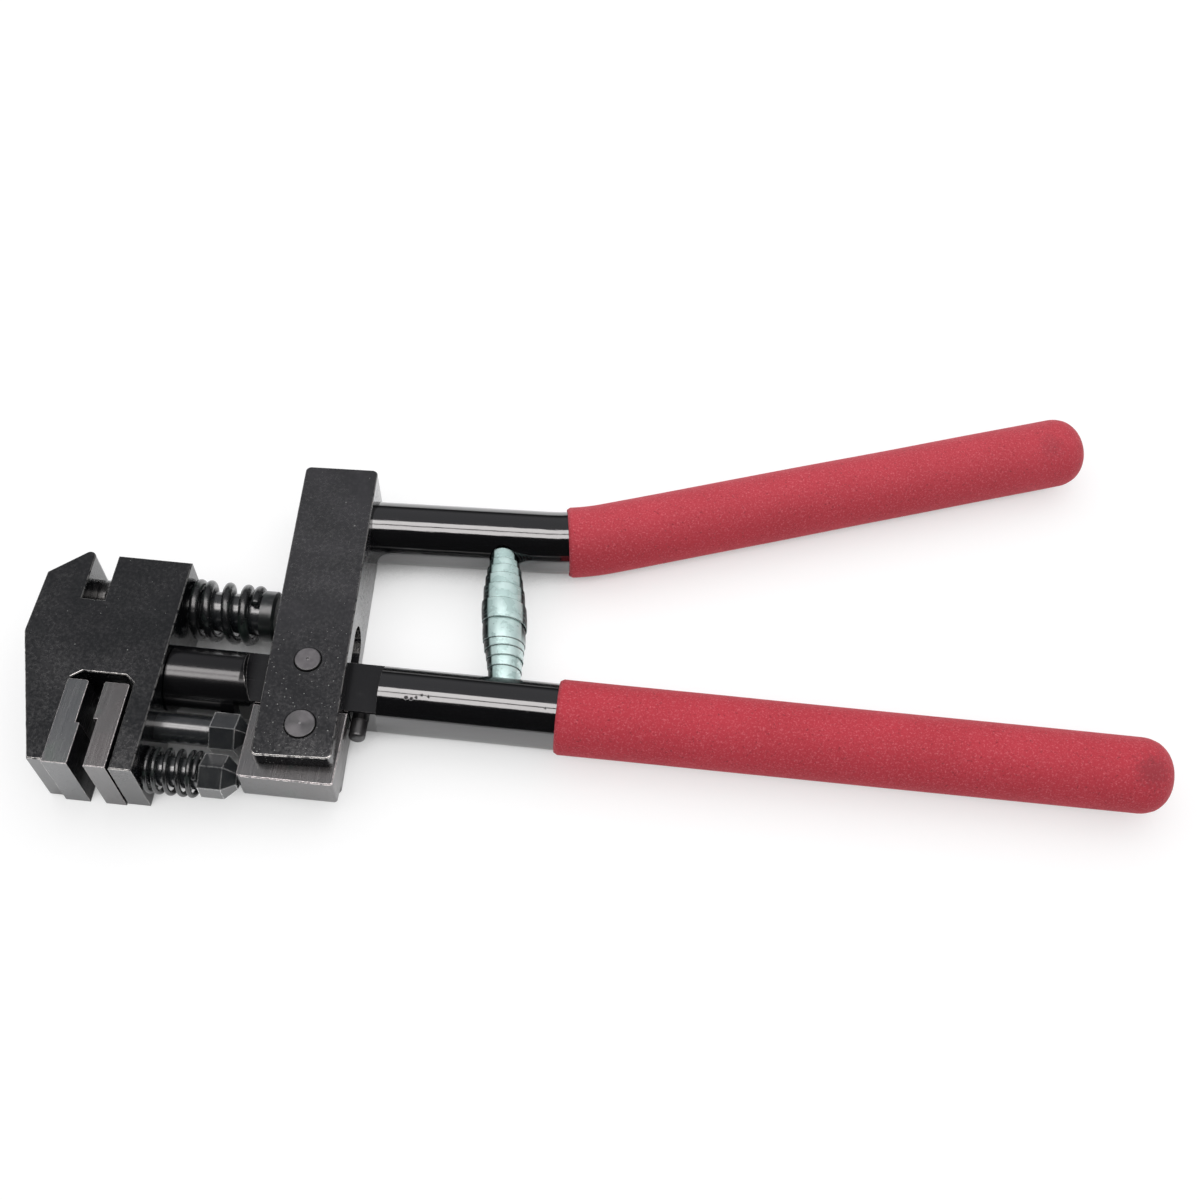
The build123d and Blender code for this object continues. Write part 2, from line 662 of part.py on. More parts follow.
die_screws = []
for number, drop in enumerate((-die_screw_pitch / 2, die_screw_pitch / 2), start=1):
    seat = facing_x(die_slot_left_x - die_screw_grip, die_screw_y)
    screw_plane = Plane(
        origin=seat.from_local_coords((0, drop, 0)), x_dir=seat.x_dir, z_dir=seat.z_dir
    )
    with BuildPart() as die_screw:
        with BuildSketch(screw_plane):
            Circle(die_screw_radius)
        extrude(amount=die_screw_grip + die_screw_engagement)
        with BuildSketch(screw_plane):
            Circle(die_screw_head_radius)
        extrude(amount=-die_screw_head_height)
        with BuildSketch(screw_plane.offset(-die_screw_head_height)):
            RegularPolygon(die_screw_socket_radius, 6)
        extrude(amount=die_screw_socket_depth, mode=Mode.SUBTRACT)
    die_screw.part.label = f"fixed_die_screw_{number}"
    die_screws.append(die_screw)

# ---------------------------------------------------------------- moving die and its plungers
with BuildPart() as moving_die:
    with BuildSketch(Plane.XY):
        with BuildLine():
            Polyline(
                (moving_die_face_x, die_top_y),
                (moving_die_back_x, die_top_y),
                (moving_die_back_x, die_front_y),
                (moving_die_face_x + die_step, die_front_y),
                (moving_die_face_x + die_step, moving_step_y),
                (moving_die_face_x, moving_step_y),
                close=True,
            )
        make_face()
    extrude(amount=die_height)
    fillet(moving_die.edges().filter_by(Axis.Z).group_by(Axis.Y)[-1], die_corner_rounding)
    fillet(moving_die.faces().sort_by(Axis.Z)[-1].edges(), die_edge_break)
    for plunger_y in (drive_plunger_y, spring_plunger_y):
        with BuildSketch(facing_x(moving_die_back_x, plunger_y)):
            Circle(plunger_spigot_radius)
        extrude(amount=-plunger_spigot_length, mode=Mode.SUBTRACT)
moving_die.part.label = "moving_die"

with BuildPart() as drive_plunger:
    with BuildSketch(facing_x(moving_die_back_x, drive_plunger_y)):
        Circle(plunger_spigot_radius)
    extrude(amount=-plunger_spigot_length)
    with BuildSketch(facing_x(moving_die_back_x, drive_plunger_y)):
        Circle(drive_plunger_radius)
    extrude(amount=drive_hex_x - moving_die_back_x)
    with BuildSketch(facing_x(drive_hex_x, drive_plunger_y)):
        RegularPolygon(drive_hex_across / 2, 6, major_radius=False, rotation=drive_hex_turn)
    extrude(amount=drive_hex_length - drive_hex_point)
    with BuildSketch(facing_x(plunger_end_x - drive_hex_point, drive_plunger_y)):
        RegularPolygon(drive_hex_across / 2, 6, major_radius=False, rotation=drive_hex_turn)
    extrude(amount=drive_hex_point, taper=drive_hex_taper)
drive_plunger.part.label = "drive_plunger"

with BuildPart() as spring_plunger:
    with BuildSketch(facing_x(moving_die_back_x, spring_plunger_y)):
        Circle(plunger_spigot_radius)
    extrude(amount=-plunger_spigot_length)
    with BuildSketch(facing_x(moving_die_back_x, spring_plunger_y)):
        Circle(spring_plunger_radius)
    extrude(amount=spring_hex_x - moving_die_back_x)
    with BuildSketch(facing_x(spring_hex_x, spring_plunger_y)):
        RegularPolygon(spring_hex_across / 2, 6, major_radius=False, rotation=spring_hex_turn)
    extrude(amount=spring_hex_length - spring_hex_point)
    with BuildSketch(facing_x(plunger_end_x - spring_hex_point, spring_plunger_y)):
        RegularPolygon(spring_hex_across / 2, 6, major_radius=False, rotation=spring_hex_turn)
    extrude(amount=spring_hex_point, taper=spring_hex_taper)
spring_plunger.part.label = "spring_plunger"

with BuildPart() as joggle_spring:
    joggle_coil = coil_route(
        spring_plunger_y,
        joggle_spring_outer_radius,
        joggle_spring_wire,
        joggle_spring_turns,
        spring_hex_x - contact_gap,
    )
    with BuildSketch(Plane(origin=joggle_coil @ 0, z_dir=joggle_coil % 0)):
        Circle(joggle_spring_wire / 2)
    sweep(path=joggle_coil, is_frenet=True)
joggle_spring.part.label = "joggle_spring"

# ---------------------------------------------------------------- punch
with BuildPart() as punch:
    with BuildSketch(facing_x(punch_tip_x, punch_axis_y)):
        Circle(punch_tip_radius)
    extrude(amount=punch_shoulder_x - punch_tip_x)
    with BuildSketch(facing_x(punch_shoulder_x, punch_axis_y)):
        Circle(punch_shaft_radius)
    extrude(amount=punch_collar_x - punch_shoulder_x)
    with BuildSketch(facing_x(punch_collar_x, punch_axis_y)):
        Circle(punch_tail_radius)
    extrude(amount=punch_collar_length)
punch.part.label = "punch"

with BuildPart() as punch_collar:
    with BuildSketch(facing_x(punch_collar_x, punch_axis_y)):
        Circle(punch_collar_radius)
    extrude(amount=punch_collar_length)
    chamfer(punch_collar.edges().sort_by(Axis.X)[-1], punch_collar_chamfer)
    with BuildSketch(facing_x(punch_collar_x, punch_axis_y)):
        Circle(punch_tail_radius)
    extrude(amount=punch_collar_length, mode=Mode.SUBTRACT)
punch_collar.part.label = "punch_collar"

with BuildPart() as punch_spring:
    punch_coil = coil_route(
        punch_axis_y,
        punch_spring_outer_radius,
        punch_spring_wire,
        punch_spring_turns,
        punch_collar_x - contact_gap,
    )
    with BuildSketch(Plane(origin=punch_coil @ 0, z_dir=punch_coil % 0)):
        Circle(punch_spring_wire / 2)
    sweep(path=punch_coil, is_frenet=True)
punch_spring.part.label = "punch_spring"

# ---------------------------------------------------------------- export
finished = [
    central_bar,
    stop_pin,
    lower_grip,
    volute_spring,
    lever_block,
    pivot_pin,
    pusher_pin,
    upper_handle,
    upper_grip,
    pusher_block,
    head_body,
    retaining_screw,
    die_bush,
    guide_bush,
    fixed_die,
    *die_screws,
    moving_die,
    drive_plunger,
    spring_plunger,
    joggle_spring,
    punch,
    punch_collar,
    punch_spring,
]
for piece in finished:
    export_step(piece.part, f"parts/{piece.part.label}.step")
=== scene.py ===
"""Punch and flange pliers, dressed: wound springs, foam sleeves, steel with rubbed and
painted-bright edges, plain studio.
"""

from __future__ import annotations

import logging
import math
import random
from dataclasses import dataclass, field
from enum import Enum

import bmesh
import bpy
import numpy as np
from mathutils import Matrix, Vector

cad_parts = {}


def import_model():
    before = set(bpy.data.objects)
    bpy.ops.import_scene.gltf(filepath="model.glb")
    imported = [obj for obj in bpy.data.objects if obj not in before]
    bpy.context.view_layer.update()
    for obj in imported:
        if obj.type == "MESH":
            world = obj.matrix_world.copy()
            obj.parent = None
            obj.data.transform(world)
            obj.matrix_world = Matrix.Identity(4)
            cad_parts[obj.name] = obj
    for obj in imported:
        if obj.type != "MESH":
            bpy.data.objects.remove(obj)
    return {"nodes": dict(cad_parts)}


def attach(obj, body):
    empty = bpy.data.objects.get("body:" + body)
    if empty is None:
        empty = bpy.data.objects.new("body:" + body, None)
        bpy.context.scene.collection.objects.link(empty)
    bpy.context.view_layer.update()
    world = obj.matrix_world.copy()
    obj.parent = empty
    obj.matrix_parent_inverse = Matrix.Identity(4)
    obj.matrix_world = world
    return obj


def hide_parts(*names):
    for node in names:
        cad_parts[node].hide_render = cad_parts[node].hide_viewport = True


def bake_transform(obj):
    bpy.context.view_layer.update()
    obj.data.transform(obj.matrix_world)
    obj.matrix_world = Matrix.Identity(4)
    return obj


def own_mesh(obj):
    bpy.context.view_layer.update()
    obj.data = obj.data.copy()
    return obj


MM = 0.001
LOG = logging.getLogger("pliers")
Colour = tuple[float, float, float]
Point = tuple[float, float, float]
Line = tuple[float, float]
Socket = bpy.types.NodeSocket

BLACK: Colour = (0.0, 0.0, 0.0)
WHITE: Colour = (1.0, 1.0, 1.0)
ORIGIN: Point = (0.0, 0.0, 0.0)
LEFT: Point = (-1.0, 0.0, 0.0)
RIGHT: Point = (1.0, 0.0, 0.0)
FRONT: Point = (0.0, -1.0, 0.0)
UP: Point = (0.0, 0.0, 1.0)
DOWN: Point = (0.0, 0.0, -1.0)


class Body(Enum):
    """The moving bodies that carry new pieces."""

    BAR = "bar"
    LEVER = "lever"
    HEAD = "head"


class Slot(Enum):
    """The record's material slots that new pieces take their finish from."""

    ZINC = "zinc_strip"
    SPRING = "spring_black"
    FOAM = "red_foam"


# ---------------------------------------------------------------- finishes
@dataclass(frozen=True)
class Patches:
    """Irregular patches, cut out of a noise between two of its levels."""

    scale: float
    octaves: float
    finer: float
    low: float
    high: float
    outside: float = 0.0
    inside: float = 1.0
    warp: float = 0.0


class Graph:
    """The node tree of a material or of the world, in short calls."""

    def __init__(self, owner: bpy.types.Material | bpy.types.World) -> None:
        """Empty the owner's tree.

        Args:
            owner: The material or the world.
        """
        owner.use_nodes = True
        self.tree = owner.node_tree
        self.tree.nodes.clear()
        self._shader: bpy.types.Node | None = None
        self._place: Socket | None = None

    @property
    def shader(self) -> bpy.types.Node:
        """The Principled shader, added the first time it is asked for.

        Returns:
            The shader's node.
        """
        if self._shader is None:
            self._shader = self.add("BsdfPrincipled")
        return self._shader

    def add(self, kind: str, **settings: object) -> bpy.types.Node:
        """Add one node.

        Args:
            kind: Type name of the node, without its usual start.
            settings: Properties to set on it.

        Returns:
            The new node.
        """
        node = self.tree.nodes.new(f"ShaderNode{kind}")
        for key, value in settings.items():
            setattr(node, key, value)
        return node

    def close(self, kind: str, surface: Socket) -> None:
        """Add the output node, Material or World, and feed its surface."""
        self.feed(self.add(f"Output{kind}").inputs["Surface"], surface)

    def feed(self, socket: Socket, value: object) -> None:
        """Link a socket to another, or set its plain value.

        Args:
            socket: The input to fill.
            value: An output socket, a number, a colour or a vector.
        """
        if isinstance(value, bpy.types.NodeSocket):
            self.tree.links.new(value, socket)
        elif isinstance(value, tuple) and socket.type == "RGBA":
            socket.default_value = (*value, 1.0)
        else:
            socket.default_value = value

    def set(self, name: str, value: object) -> None:
        """Fill one input of the Principled shader."""
        self.feed(self.shader.inputs[name], value)

    def fill(self, kind: str, name: str, value: object) -> Socket:
        """Add a plain shader with one input filled.

        Args:
            kind: Type name of the shader, without its usual start.
            name: The input.
            value: What fills it.

        Returns:
            The shader's output.
        """
        node = self.add(kind)
        self.feed(node.inputs[name], value)
        return node.outputs[0]

    def math(self, operation: str, a: object, b: object = 0.0) -> Socket:
        """One Math node.

        Args:
            operation: Name of the operation.
            a: First value.
            b: Second value.

        Returns:
            The result.
        """
        node = self.add("Math", operation=operation)
        self.feed(node.inputs[0], a)
        self.feed(node.inputs[1], b)
        return node.outputs["Value"]

    def chain(self, operation: str, values: tuple[object, ...]) -> object:
        """One Math operation over several values, from the first to the last.

        Args:
            operation: Name of the operation.
            values: Sockets or numbers.

        Returns:
            The result.
        """
        result = values[0]
        for value in values[1:]:
            result = self.math(operation, result, value)
        return result

    def times(self, *values: object) -> object:
        """The product of several values."""
        return self.chain("MULTIPLY", values)

    def plus(self, *values: object) -> object:
        """The sum of several values."""
        return self.chain("ADD", values)

    def minus(self, *values: object) -> object:
        """The first value less all the others."""
        return self.chain("SUBTRACT", values)

    def largest(self, *values: object) -> object:
        """The largest of several values."""
        return self.chain("MAXIMUM", values)

    def vector(
        self, operation: str, a: object, b: object = ORIGIN, result: str = "Vector"
    ) -> Socket:
        """One Vector Math node.

        Args:
            operation: Name of the operation.
            a: First vector.
            b: Second vector.
            result: Name of the output, Vector or Value.

        Returns:
            The result.
        """
        node = self.add("VectorMath", operation=operation)
        self.feed(node.inputs[0], a)
        self.feed(node.inputs[1], b)
        return node.outputs[result]

    def coordinate(self, name: str) -> Socket:
        """One kind of texture coordinate."""
        return self.add("TexCoord").outputs[name]

    def part(self, vector: Socket, axis: int) -> Socket:
        """One part of a vector.

        Args:
            vector: The vector.
            axis: 0 to 2 for X to Z.

        Returns:
            That part.
        """
        split = self.add("SeparateXYZ")
        self.feed(split.inputs["Vector"], vector)
        return split.outputs[axis]

    def place(self) -> Socket:
        """The point on the piece.

        Returns:
            Its place in millimetres of the tool's own frame.
        """
        if self._place is None:
            self._place = self.vector("MULTIPLY", self.coordinate("Object"), (1 / MM,) * 3)
        return self._place

    def along(self, axis: int) -> Socket:
        """One coordinate of the place, in millimetres."""
        return self.part(self.place(), axis)

    def stretch(self, scale: Point, turn: float = 0.0) -> Socket:
        """The place, turned about Z and scaled along each axis.

        Args:
            scale: Factor along X, Y and Z.
            turn: Turn about Z in degrees.

        Returns:
            The changed coordinates.
        """
        node = self.add("Mapping")
        self.feed(node.inputs["Vector"], self.place())
        node.inputs["Rotation"].default_value = (0.0, 0.0, math.radians(turn))
        node.inputs["Scale"].default_value = scale
        return node.outputs["Vector"]

    def noise(
        self,
        scale: float,
        detail: float = 4.0,
        roughness: float = 0.5,
        where: Socket | None = None,
        warp: float = 0.0,
    ) -> Socket:
        """Fractal noise.

        Args:
            scale: Features per millimetre.
            detail: Octaves.
            roughness: Share of the finer octaves.
            where: Coordinates, or None for the plain place.
            warp: Distortion.

        Returns:
            The noise, about 0 to 1.
        """
        node = self.add("TexNoise")
        self.feed(node.inputs["Vector"], where or self.place())
        node.inputs["Scale"].default_value = scale
        node.inputs["Detail"].default_value = detail
        node.inputs["Roughness"].default_value = roughness
        node.inputs["Distortion"].default_value = warp
        return node.outputs["Fac"]

    def level(
        self, value: object, low: float, high: float, bottom: float = 0.0, top: float = 1.0
    ) -> Socket:
        """Smooth step of a value between two levels.

        Args:
            value: The value.
            low: Where the step starts.
            high: Where it ends, which may be below the start.
            bottom: Result at the start.
            top: Result at the end.

        Returns:
            The stepped value.
        """
        node = self.add("MapRange", interpolation_type="SMOOTHSTEP")
        falling = high < low
        self.feed(node.inputs["Value"], value)
        self.feed(node.inputs["From Min"], high if falling else low)
        self.feed(node.inputs["From Max"], low if falling else high)
        self.feed(node.inputs["To Min"], top if falling else bottom)
        self.feed(node.inputs["To Max"], bottom if falling else top)
        return node.outputs["Result"]

    def blend(self, share: object, a: object, b: object) -> Socket:
        """Mix two colours.

        Args:
            share: How much of the second.
            a: First colour.
            b: Second colour.

        Returns:
            The mixed colour.
        """
        node = self.add("Mix", data_type="RGBA")
        self.feed(node.inputs[0], share)
        self.feed(node.inputs[6], a)
        self.feed(node.inputs[7], b)
        return node.outputs[2]

    def patches(self, shape: Patches) -> Socket:
        """Mask of irregular patches."""
        noise = self.noise(shape.scale, shape.octaves, shape.finer, warp=shape.warp)
        return self.level(noise, shape.low, shape.high, shape.outside, shape.inside)

    def specks(self, scale: float, size: float, share: float) -> Socket:
        """Sparse small round specks.

        Args:
            scale: Cells per millimetre.
            size: Speck radius in millimetres.
            share: Share of the cells that hold one.

        Returns:
            Mask, 1 on a speck.
        """
        node = self.add("TexVoronoi", feature="F1")
        self.feed(node.inputs["Vector"], self.place())
        node.inputs["Scale"].default_value = scale
        split = self.add("SeparateColor")
        self.feed(split.inputs["Color"], node.outputs["Color"])
        chosen = self.math("LESS_THAN", split.outputs["Red"], share)
        grown = self.times(split.outputs["Green"], size * scale)
        shape = self.level(self.minus(node.outputs["Distance"], grown), 0.03, -0.05)
        return self.times(shape, chosen)

    def sharp_edge_mask(self, radius: float, start: float = 0.03, full: float = 0.22) -> Socket:
        """Mask along sharp outer edges.

        Args:
            radius: Width of the edge zone in millimetres.
            start: Bend of the normal at which the mask starts.
            full: Bend at which it is whole.

        Returns:
            Mask, 1 on the edge.
        """
        bevel = self.add("Bevel", samples=6)
        bevel.inputs["Radius"].default_value = radius * MM
        own = self.add("NewGeometry").outputs["True Normal"]
        same = self.vector("DOT_PRODUCT", bevel.outputs["Normal"], own, "Value")
        return self.level(self.minus(1.0, same), start, full)

    def highlight_rim(self, elsewhere: float = 1.0) -> Socket:
        """Mask of the rounded corner between a level face and the sides below it, where a highlight
        of the overhead light is painted.

        Args:
            elsewhere: Share of the mask on rims that do not look along -Y.

        Returns:
            Mask, 1 on the rim.
        """
        normal = self.coordinate("Normal")
        upward, forward = self.part(normal, 2), self.part(normal, 1)
        rim = self.times(self.level(upward, 0.995, 0.95), self.level(upward, 0.05, 0.25))
        return self.times(rim, self.level(forward, -0.08, -0.25, elsewhere, 1.0))

    def facing(self, direction: Point, start: float = 0.6, full: float = 0.8) -> Socket:
        """Mask of the faces that look one way on the piece itself, between two cosines."""
        turned = self.vector("DOT_PRODUCT", self.coordinate("Normal"), direction, "Value")
        return self.level(turned, start, full)

    def reach(self, axis: Line) -> Socket:
        """Distance in millimetres from a line along Z that stands at X and Y."""
        away = self.vector("SUBTRACT", self.place(), (*axis, 0.0))
        return self.vector("LENGTH", self.vector("MULTIPLY", away, (1.0, 1.0, 0.0)), result="Value")

    def ring(self, axis: Line, radius: float, width: float) -> Socket:
        """Mask of a thin ring about a line along Z, with its sizes in millimetres."""
        off = self.math("ABSOLUTE", self.minus(self.reach(axis), radius))
        return self.level(off, width, width * 0.4)

    def spot(self, centre: Point, radius: float, soft: float = 0.3, warp: float = 0.25) -> Socket:
        """Mask of one irregular round mark.

        Args:
            centre: Its middle in millimetres.
            radius: Its radius in millimetres.
            soft: Width of its edge in millimetres.
            warp: How far its outline strays in millimetres.

        Returns:
            Mask, 1 in the mark.
        """
        away = self.vector("DISTANCE", self.place(), centre, "Value")
        stray = self.times(self.minus(self.noise(1.2, 3.0), 0.5), 4.0 * warp)
        return self.level(self.plus(away, stray), radius + soft / 2, radius - soft / 2)

    def joined(self, *shaders: Socket) -> Socket:
        """The sum of several shaders.

        Args:
            shaders: The shaders.

        Returns:
            Their sum.
        """
        result = shaders[0]
        for shader in shaders[1:]:
            both = self.add("AddShader")
            self.feed(both.inputs[0], result)
            self.feed(both.inputs[1], shader)
            result = both.outputs["Shader"]
        return result

    def bump(self, height: object, depth: float) -> None:
        """Raise the surface by a height and feed the shader's normal.

        Args:
            height: Height from 0 to 1.
            depth: Millimetres that a height of 1 stands for.
        """
        node = self.add("Bump")
        node.inputs["Strength"].default_value = 1.0
        node.inputs["Distance"].default_value = depth * MM
        self.feed(node.inputs["Height"], height)
        self.set("Normal", node.outputs["Normal"])


@dataclass(frozen=True)
class Finish:
    """What every finish has: a name and a material made once."""

    name: str

    def dress(self, graph: Graph) -> None:
        """Fill the shader of an empty graph."""
        raise NotImplementedError

    def surface(self, graph: Graph) -> Socket:
        """The shader that the finish ends in."""
        return graph.shader.outputs["BSDF"]

    def material(self) -> bpy.types.Material:
        """The finish's material, made the first time it is asked for.

        Returns:
            The material.
        """
        found = bpy.data.materials.get(self.name)
        if found is None:
            found = bpy.data.materials.new(self.name)
            graph = Graph(found)
            self.dress(graph)
            graph.close("Material", self.surface(graph))
        return found


@dataclass(frozen=True)
class OxideSteel(Finish):
    """Machined steel with a dark oxide skin, sparse pale specks, and bright edges that are partly
    rubbed steel and partly a painted highlight.
    """

    dark: Colour = (0.0010, 0.0018, 0.0025)
    light: Colour = (0.0040, 0.0040, 0.0052)
    bloom_tone: Colour = (0.045, 0.045, 0.047)
    darker_front_tone: Colour = (0.003, 0.003, 0.004)
    speck_tone: Colour = (0.30, 0.31, 0.29)
    edge: Colour = (0.62, 0.60, 0.58)
    gap_shade_tone: Colour = (0.001, 0.001, 0.001)
    mottle: Patches = Patches(0.09, 6.0, 0.6, 0.35, 0.68)
    bloom: Patches = Patches(1.25, 3.0, 0.65, 0.44, 0.66, inside=0.13)
    edge_breakup: Patches = Patches(0.5, 5.0, 0.65, 0.38, 0.52)
    rubbed: Patches = Patches(0.035, 5.0, 0.55, 0.3, 0.7, -0.05, 0.07, warp=0.6)
    fine: Patches = Patches(1.1, 4.0, 0.65, 0.3, 0.7, -0.07, 0.09)
    roughness: float = 0.17
    ior: float = 1.8
    front_ior: float = 1.8
    specks: float = 0.10
    large_speck: Line = (0.5, 0.24)
    small_speck: Line = (1.3, 0.12)
    speck_cover: float = 0.70
    dust: float = 0.0
    dust_speck: Line = (1.3, 0.19)
    dust_span: Line = (18.0, -4.0)
    darker_front_cover: float = 0.75
    bright_edge_share: float = 0.9
    edge_width: float = 0.35
    side_rims: float = 0.18
    gap_shade_rings: tuple[tuple[float, float, float], ...] = ()
    gap_shade_width: float = 0.24
    gap_shade_ior_drop: float = 0.6
    grain: float = 0.0045

    def dress(self, graph: Graph) -> None:
        """Mottled skin, specks, and ragged bright edges: rubbed steel with a painted highlight on
        the front rims.

        Args:
            graph: The graph to fill.
        """
        colour = graph.blend(graph.patches(self.mottle), self.dark, self.light)
        colour = graph.blend(graph.patches(self.bloom), colour, self.bloom_tone)
        dots = [graph.specks(*dot, self.specks) for dot in (self.large_speck, self.small_speck)]
        if self.dust:
            low = graph.level(graph.along(1), *self.dust_span)
            dots.append(graph.times(graph.specks(*self.dust_speck, self.dust), low))
            # Darker towards -Y across the piece.
            colour = graph.blend(graph.times(low, self.darker_front_cover), colour, self.darker_front_tone)
        speck = graph.largest(*dots)
        colour = graph.blend(graph.times(speck, self.speck_cover), colour, self.speck_tone)
        # Bright edges: rubbed steel along the sharp edges, and a painted highlight on the rims
        # below level faces, strongest where they face the front.
        edges = graph.largest(graph.highlight_rim(self.side_rims), graph.sharp_edge_mask(self.edge_width))
        bright_edge = graph.times(edges, graph.patches(self.edge_breakup), self.bright_edge_share)
        colour = graph.blend(bright_edge, colour, self.edge)
        # Painted shade and painted reflection: faces looking along -Y get their own reflection
        # strength, lower on the lever to darken its front, higher on the head to brighten it.
        front = graph.facing(FRONT, 0.85, 0.95)
        sheen = graph.plus(self.ior, graph.times(front, self.front_ior - self.ior))
        # Painted shade: a dark, less reflective ring round each pin stands for the shadow in the
        # gap between pin and lever.
        for x, y, radius in self.gap_shade_rings:
            gap_shade = graph.ring((x, y), radius, self.gap_shade_width)
            colour = graph.blend(gap_shade, colour, self.gap_shade_tone)
            sheen = graph.minus(sheen, graph.times(gap_shade, self.gap_shade_ior_drop))
        graph.set("Base Color", colour)
        graph.set("Metallic", graph.times(bright_edge, 0.9))
        rubbed, fine = graph.patches(self.rubbed), graph.patches(self.fine)
        graph.set("Roughness", graph.plus(rubbed, fine, self.roughness))
        graph.set("IOR", sheen)
        tooth = graph.plus(graph.noise(2.4, 5.0, 0.6), graph.noise(0.5, 3.0, 0.5))
        graph.bump(graph.plus(tooth, graph.times(speck, 0.6)), self.grain)


@dataclass(frozen=True)
class DrawnBar(Finish):
    """Round bar in gloss black, with draw lines along it and a few knocks."""

    turn: float = 0.0
    colour: Colour = (0.004, 0.004, 0.0045)
    knocked: Colour = (0.012, 0.012, 0.013)
    milled: Colour = (0.005, 0.005, 0.006)
    edge: Colour = (0.35, 0.34, 0.33)
    ragged: Patches = Patches(0.7, 5.0, 0.65, 0.40, 0.55)
    mottle: Patches = Patches(0.22, 5.0, 0.6, 0.55, 0.75, warp=0.8)
    line_scale: Point = (0.012, 2.6, 2.6)
    roughness: float = 0.08
    ior: float = 2.0
    flats: Line | None = None
    flat_fade: float = 0.2
    stub_end: float = -15.0
    stub_fade: float = 2.0
    marks: tuple[tuple[Point, float], ...] = ()

    def dress(self, graph: Graph) -> None:
        """Draw lines, knocks and a thin clear skin.

        Args:
            graph: The graph to fill.
        """
        lines = graph.noise(1.0, 4.0, 0.55, where=graph.stretch(self.line_scale, -self.turn))
        knocks = graph.largest(*[graph.spot(at, size) for at, size in self.marks])
        colour = graph.blend(knocks, self.colour, self.knocked)
        flats: object = 0.0
        if self.flats is not None:
            x = graph.along(0)
            (start, end), fade = self.flats, self.flat_fade
            span = graph.times(
                graph.level(x, start - fade, start + fade), graph.level(x, end + fade, end - fade)
            )
            sides = graph.largest(graph.facing(UP, 0.9, 0.97), graph.facing(DOWN, 0.9, 0.97))
            flats = graph.times(span, sides)
            rim = graph.times(span, graph.sharp_edge_mask(0.3), graph.patches(self.ragged))
            colour = graph.blend(rim, graph.blend(flats, colour, self.milled), self.edge)
            graph.set("Metallic", graph.times(rim, 0.8))
        graph.set("Base Color", colour)
        deep = graph.level(lines, 0.60, 0.72)
        stub = graph.level(
            graph.along(0), self.stub_end + self.stub_fade, self.stub_end - self.stub_fade
        )
        rough = graph.plus(
            graph.times(deep, 0.10),
            self.roughness,
            graph.times(flats, 0.10),
            graph.times(stub, 0.09),
            graph.times(graph.patches(self.mottle), 0.05),
            graph.times(knocks, 0.10),
        )
        graph.set("Roughness", rough)
        dulled = [graph.times(flats, 0.45), graph.times(knocks, 0.75), graph.times(stub, 0.35)]
        graph.set("IOR", graph.minus(self.ior, *dulled))
        height = graph.minus(graph.times(lines, 0.35), graph.times(knocks, 1.2))
        graph.bump(graph.plus(height, graph.times(graph.noise(0.35, 3.0, 0.5), 0.9)), 0.012)


@dataclass(frozen=True)
class GroundSteel(Finish):
    """Ground and darkened tool steel of the dies and the pusher."""

    dark: Colour = (0.023, 0.024, 0.026)
    light: Colour = (0.042, 0.036, 0.036)
    tint: Colour = (0.026, 0.040, 0.034)
    dusty: Colour = (0.14, 0.14, 0.145)
    painted_rim_tone: Colour = (0.17, 0.17, 0.175)
    edge: Colour = (0.80, 0.74, 0.73)
    wall_shade: Colour | None = None
    wall_ior: float = 1.2
    mottle: Patches = Patches(0.07, 4.0, 0.5, 0.38, 0.62)
    heat: Patches = Patches(0.12, 3.0, 0.5, 0.56, 0.70, warp=1.0)
    ragged: Patches = Patches(0.9, 5.0, 0.65, 0.36, 0.52)
    bare_speck: Point = (1.1, 0.10, 0.10)
    edge_width: float = 0.24
    line_scale: Point = (1.6, 0.05, 1.6)
    roughness: float = 0.24
    ior: float = 2.0

    def dress(self, graph: Graph) -> None:
        """Grinding lines, heat tints, painted shade on the faces along X, and bright edges, partly
        rubbed and partly a painted highlight.

        Args:
            graph: The graph to fill.
        """
        colour = graph.blend(graph.patches(self.mottle), self.dark, self.light)
        colour = graph.blend(graph.patches(self.heat), colour, self.tint)
        cut = graph.noise(1.5, 4.0, 0.6, where=graph.stretch(self.line_scale))
        grain = graph.noise(3.5, 4.0, 0.7)
        colour = graph.blend(graph.level(grain, 0.35, 0.75, 0.0, 0.10), colour, self.dusty)
        sheen: object = self.ior
        # Painted shade: the faces looking along X, the sides of the die slot, are darkened and
        # reflect less, as the slot lies in shade.
        if self.wall_shade is not None:
            flanks = graph.largest(graph.facing(RIGHT), graph.facing(LEFT))
            colour = graph.blend(flanks, colour, self.wall_shade)
            sheen = graph.minus(self.ior, graph.times(flanks, self.ior - self.wall_ior))
        # Painted highlight: the rims below the top faces and the sharp edges are lightened, with
        # ragged brighter patches that are partly rubbed steel.
        rim = graph.largest(graph.highlight_rim(), graph.sharp_edge_mask(self.edge_width))
        colour = graph.blend(graph.times(rim, 0.8), colour, self.painted_rim_tone)
        bright_edge = graph.times(rim, graph.patches(self.ragged))
        bright_spots = graph.largest(bright_edge, graph.times(graph.specks(*self.bare_speck), 0.5))
        graph.set("Base Color", graph.blend(bright_spots, colour, self.edge))
        graph.set("Metallic", graph.times(bright_spots, 0.9))
        smooth, rough = self.roughness - 0.02, self.roughness + 0.04
        graph.set("Roughness", graph.level(cut, 0.3, 0.7, smooth, rough))
        graph.set("IOR", sheen)
        graph.bump(graph.plus(graph.times(cut, 0.2), graph.times(grain, 0.6)), 0.0012)


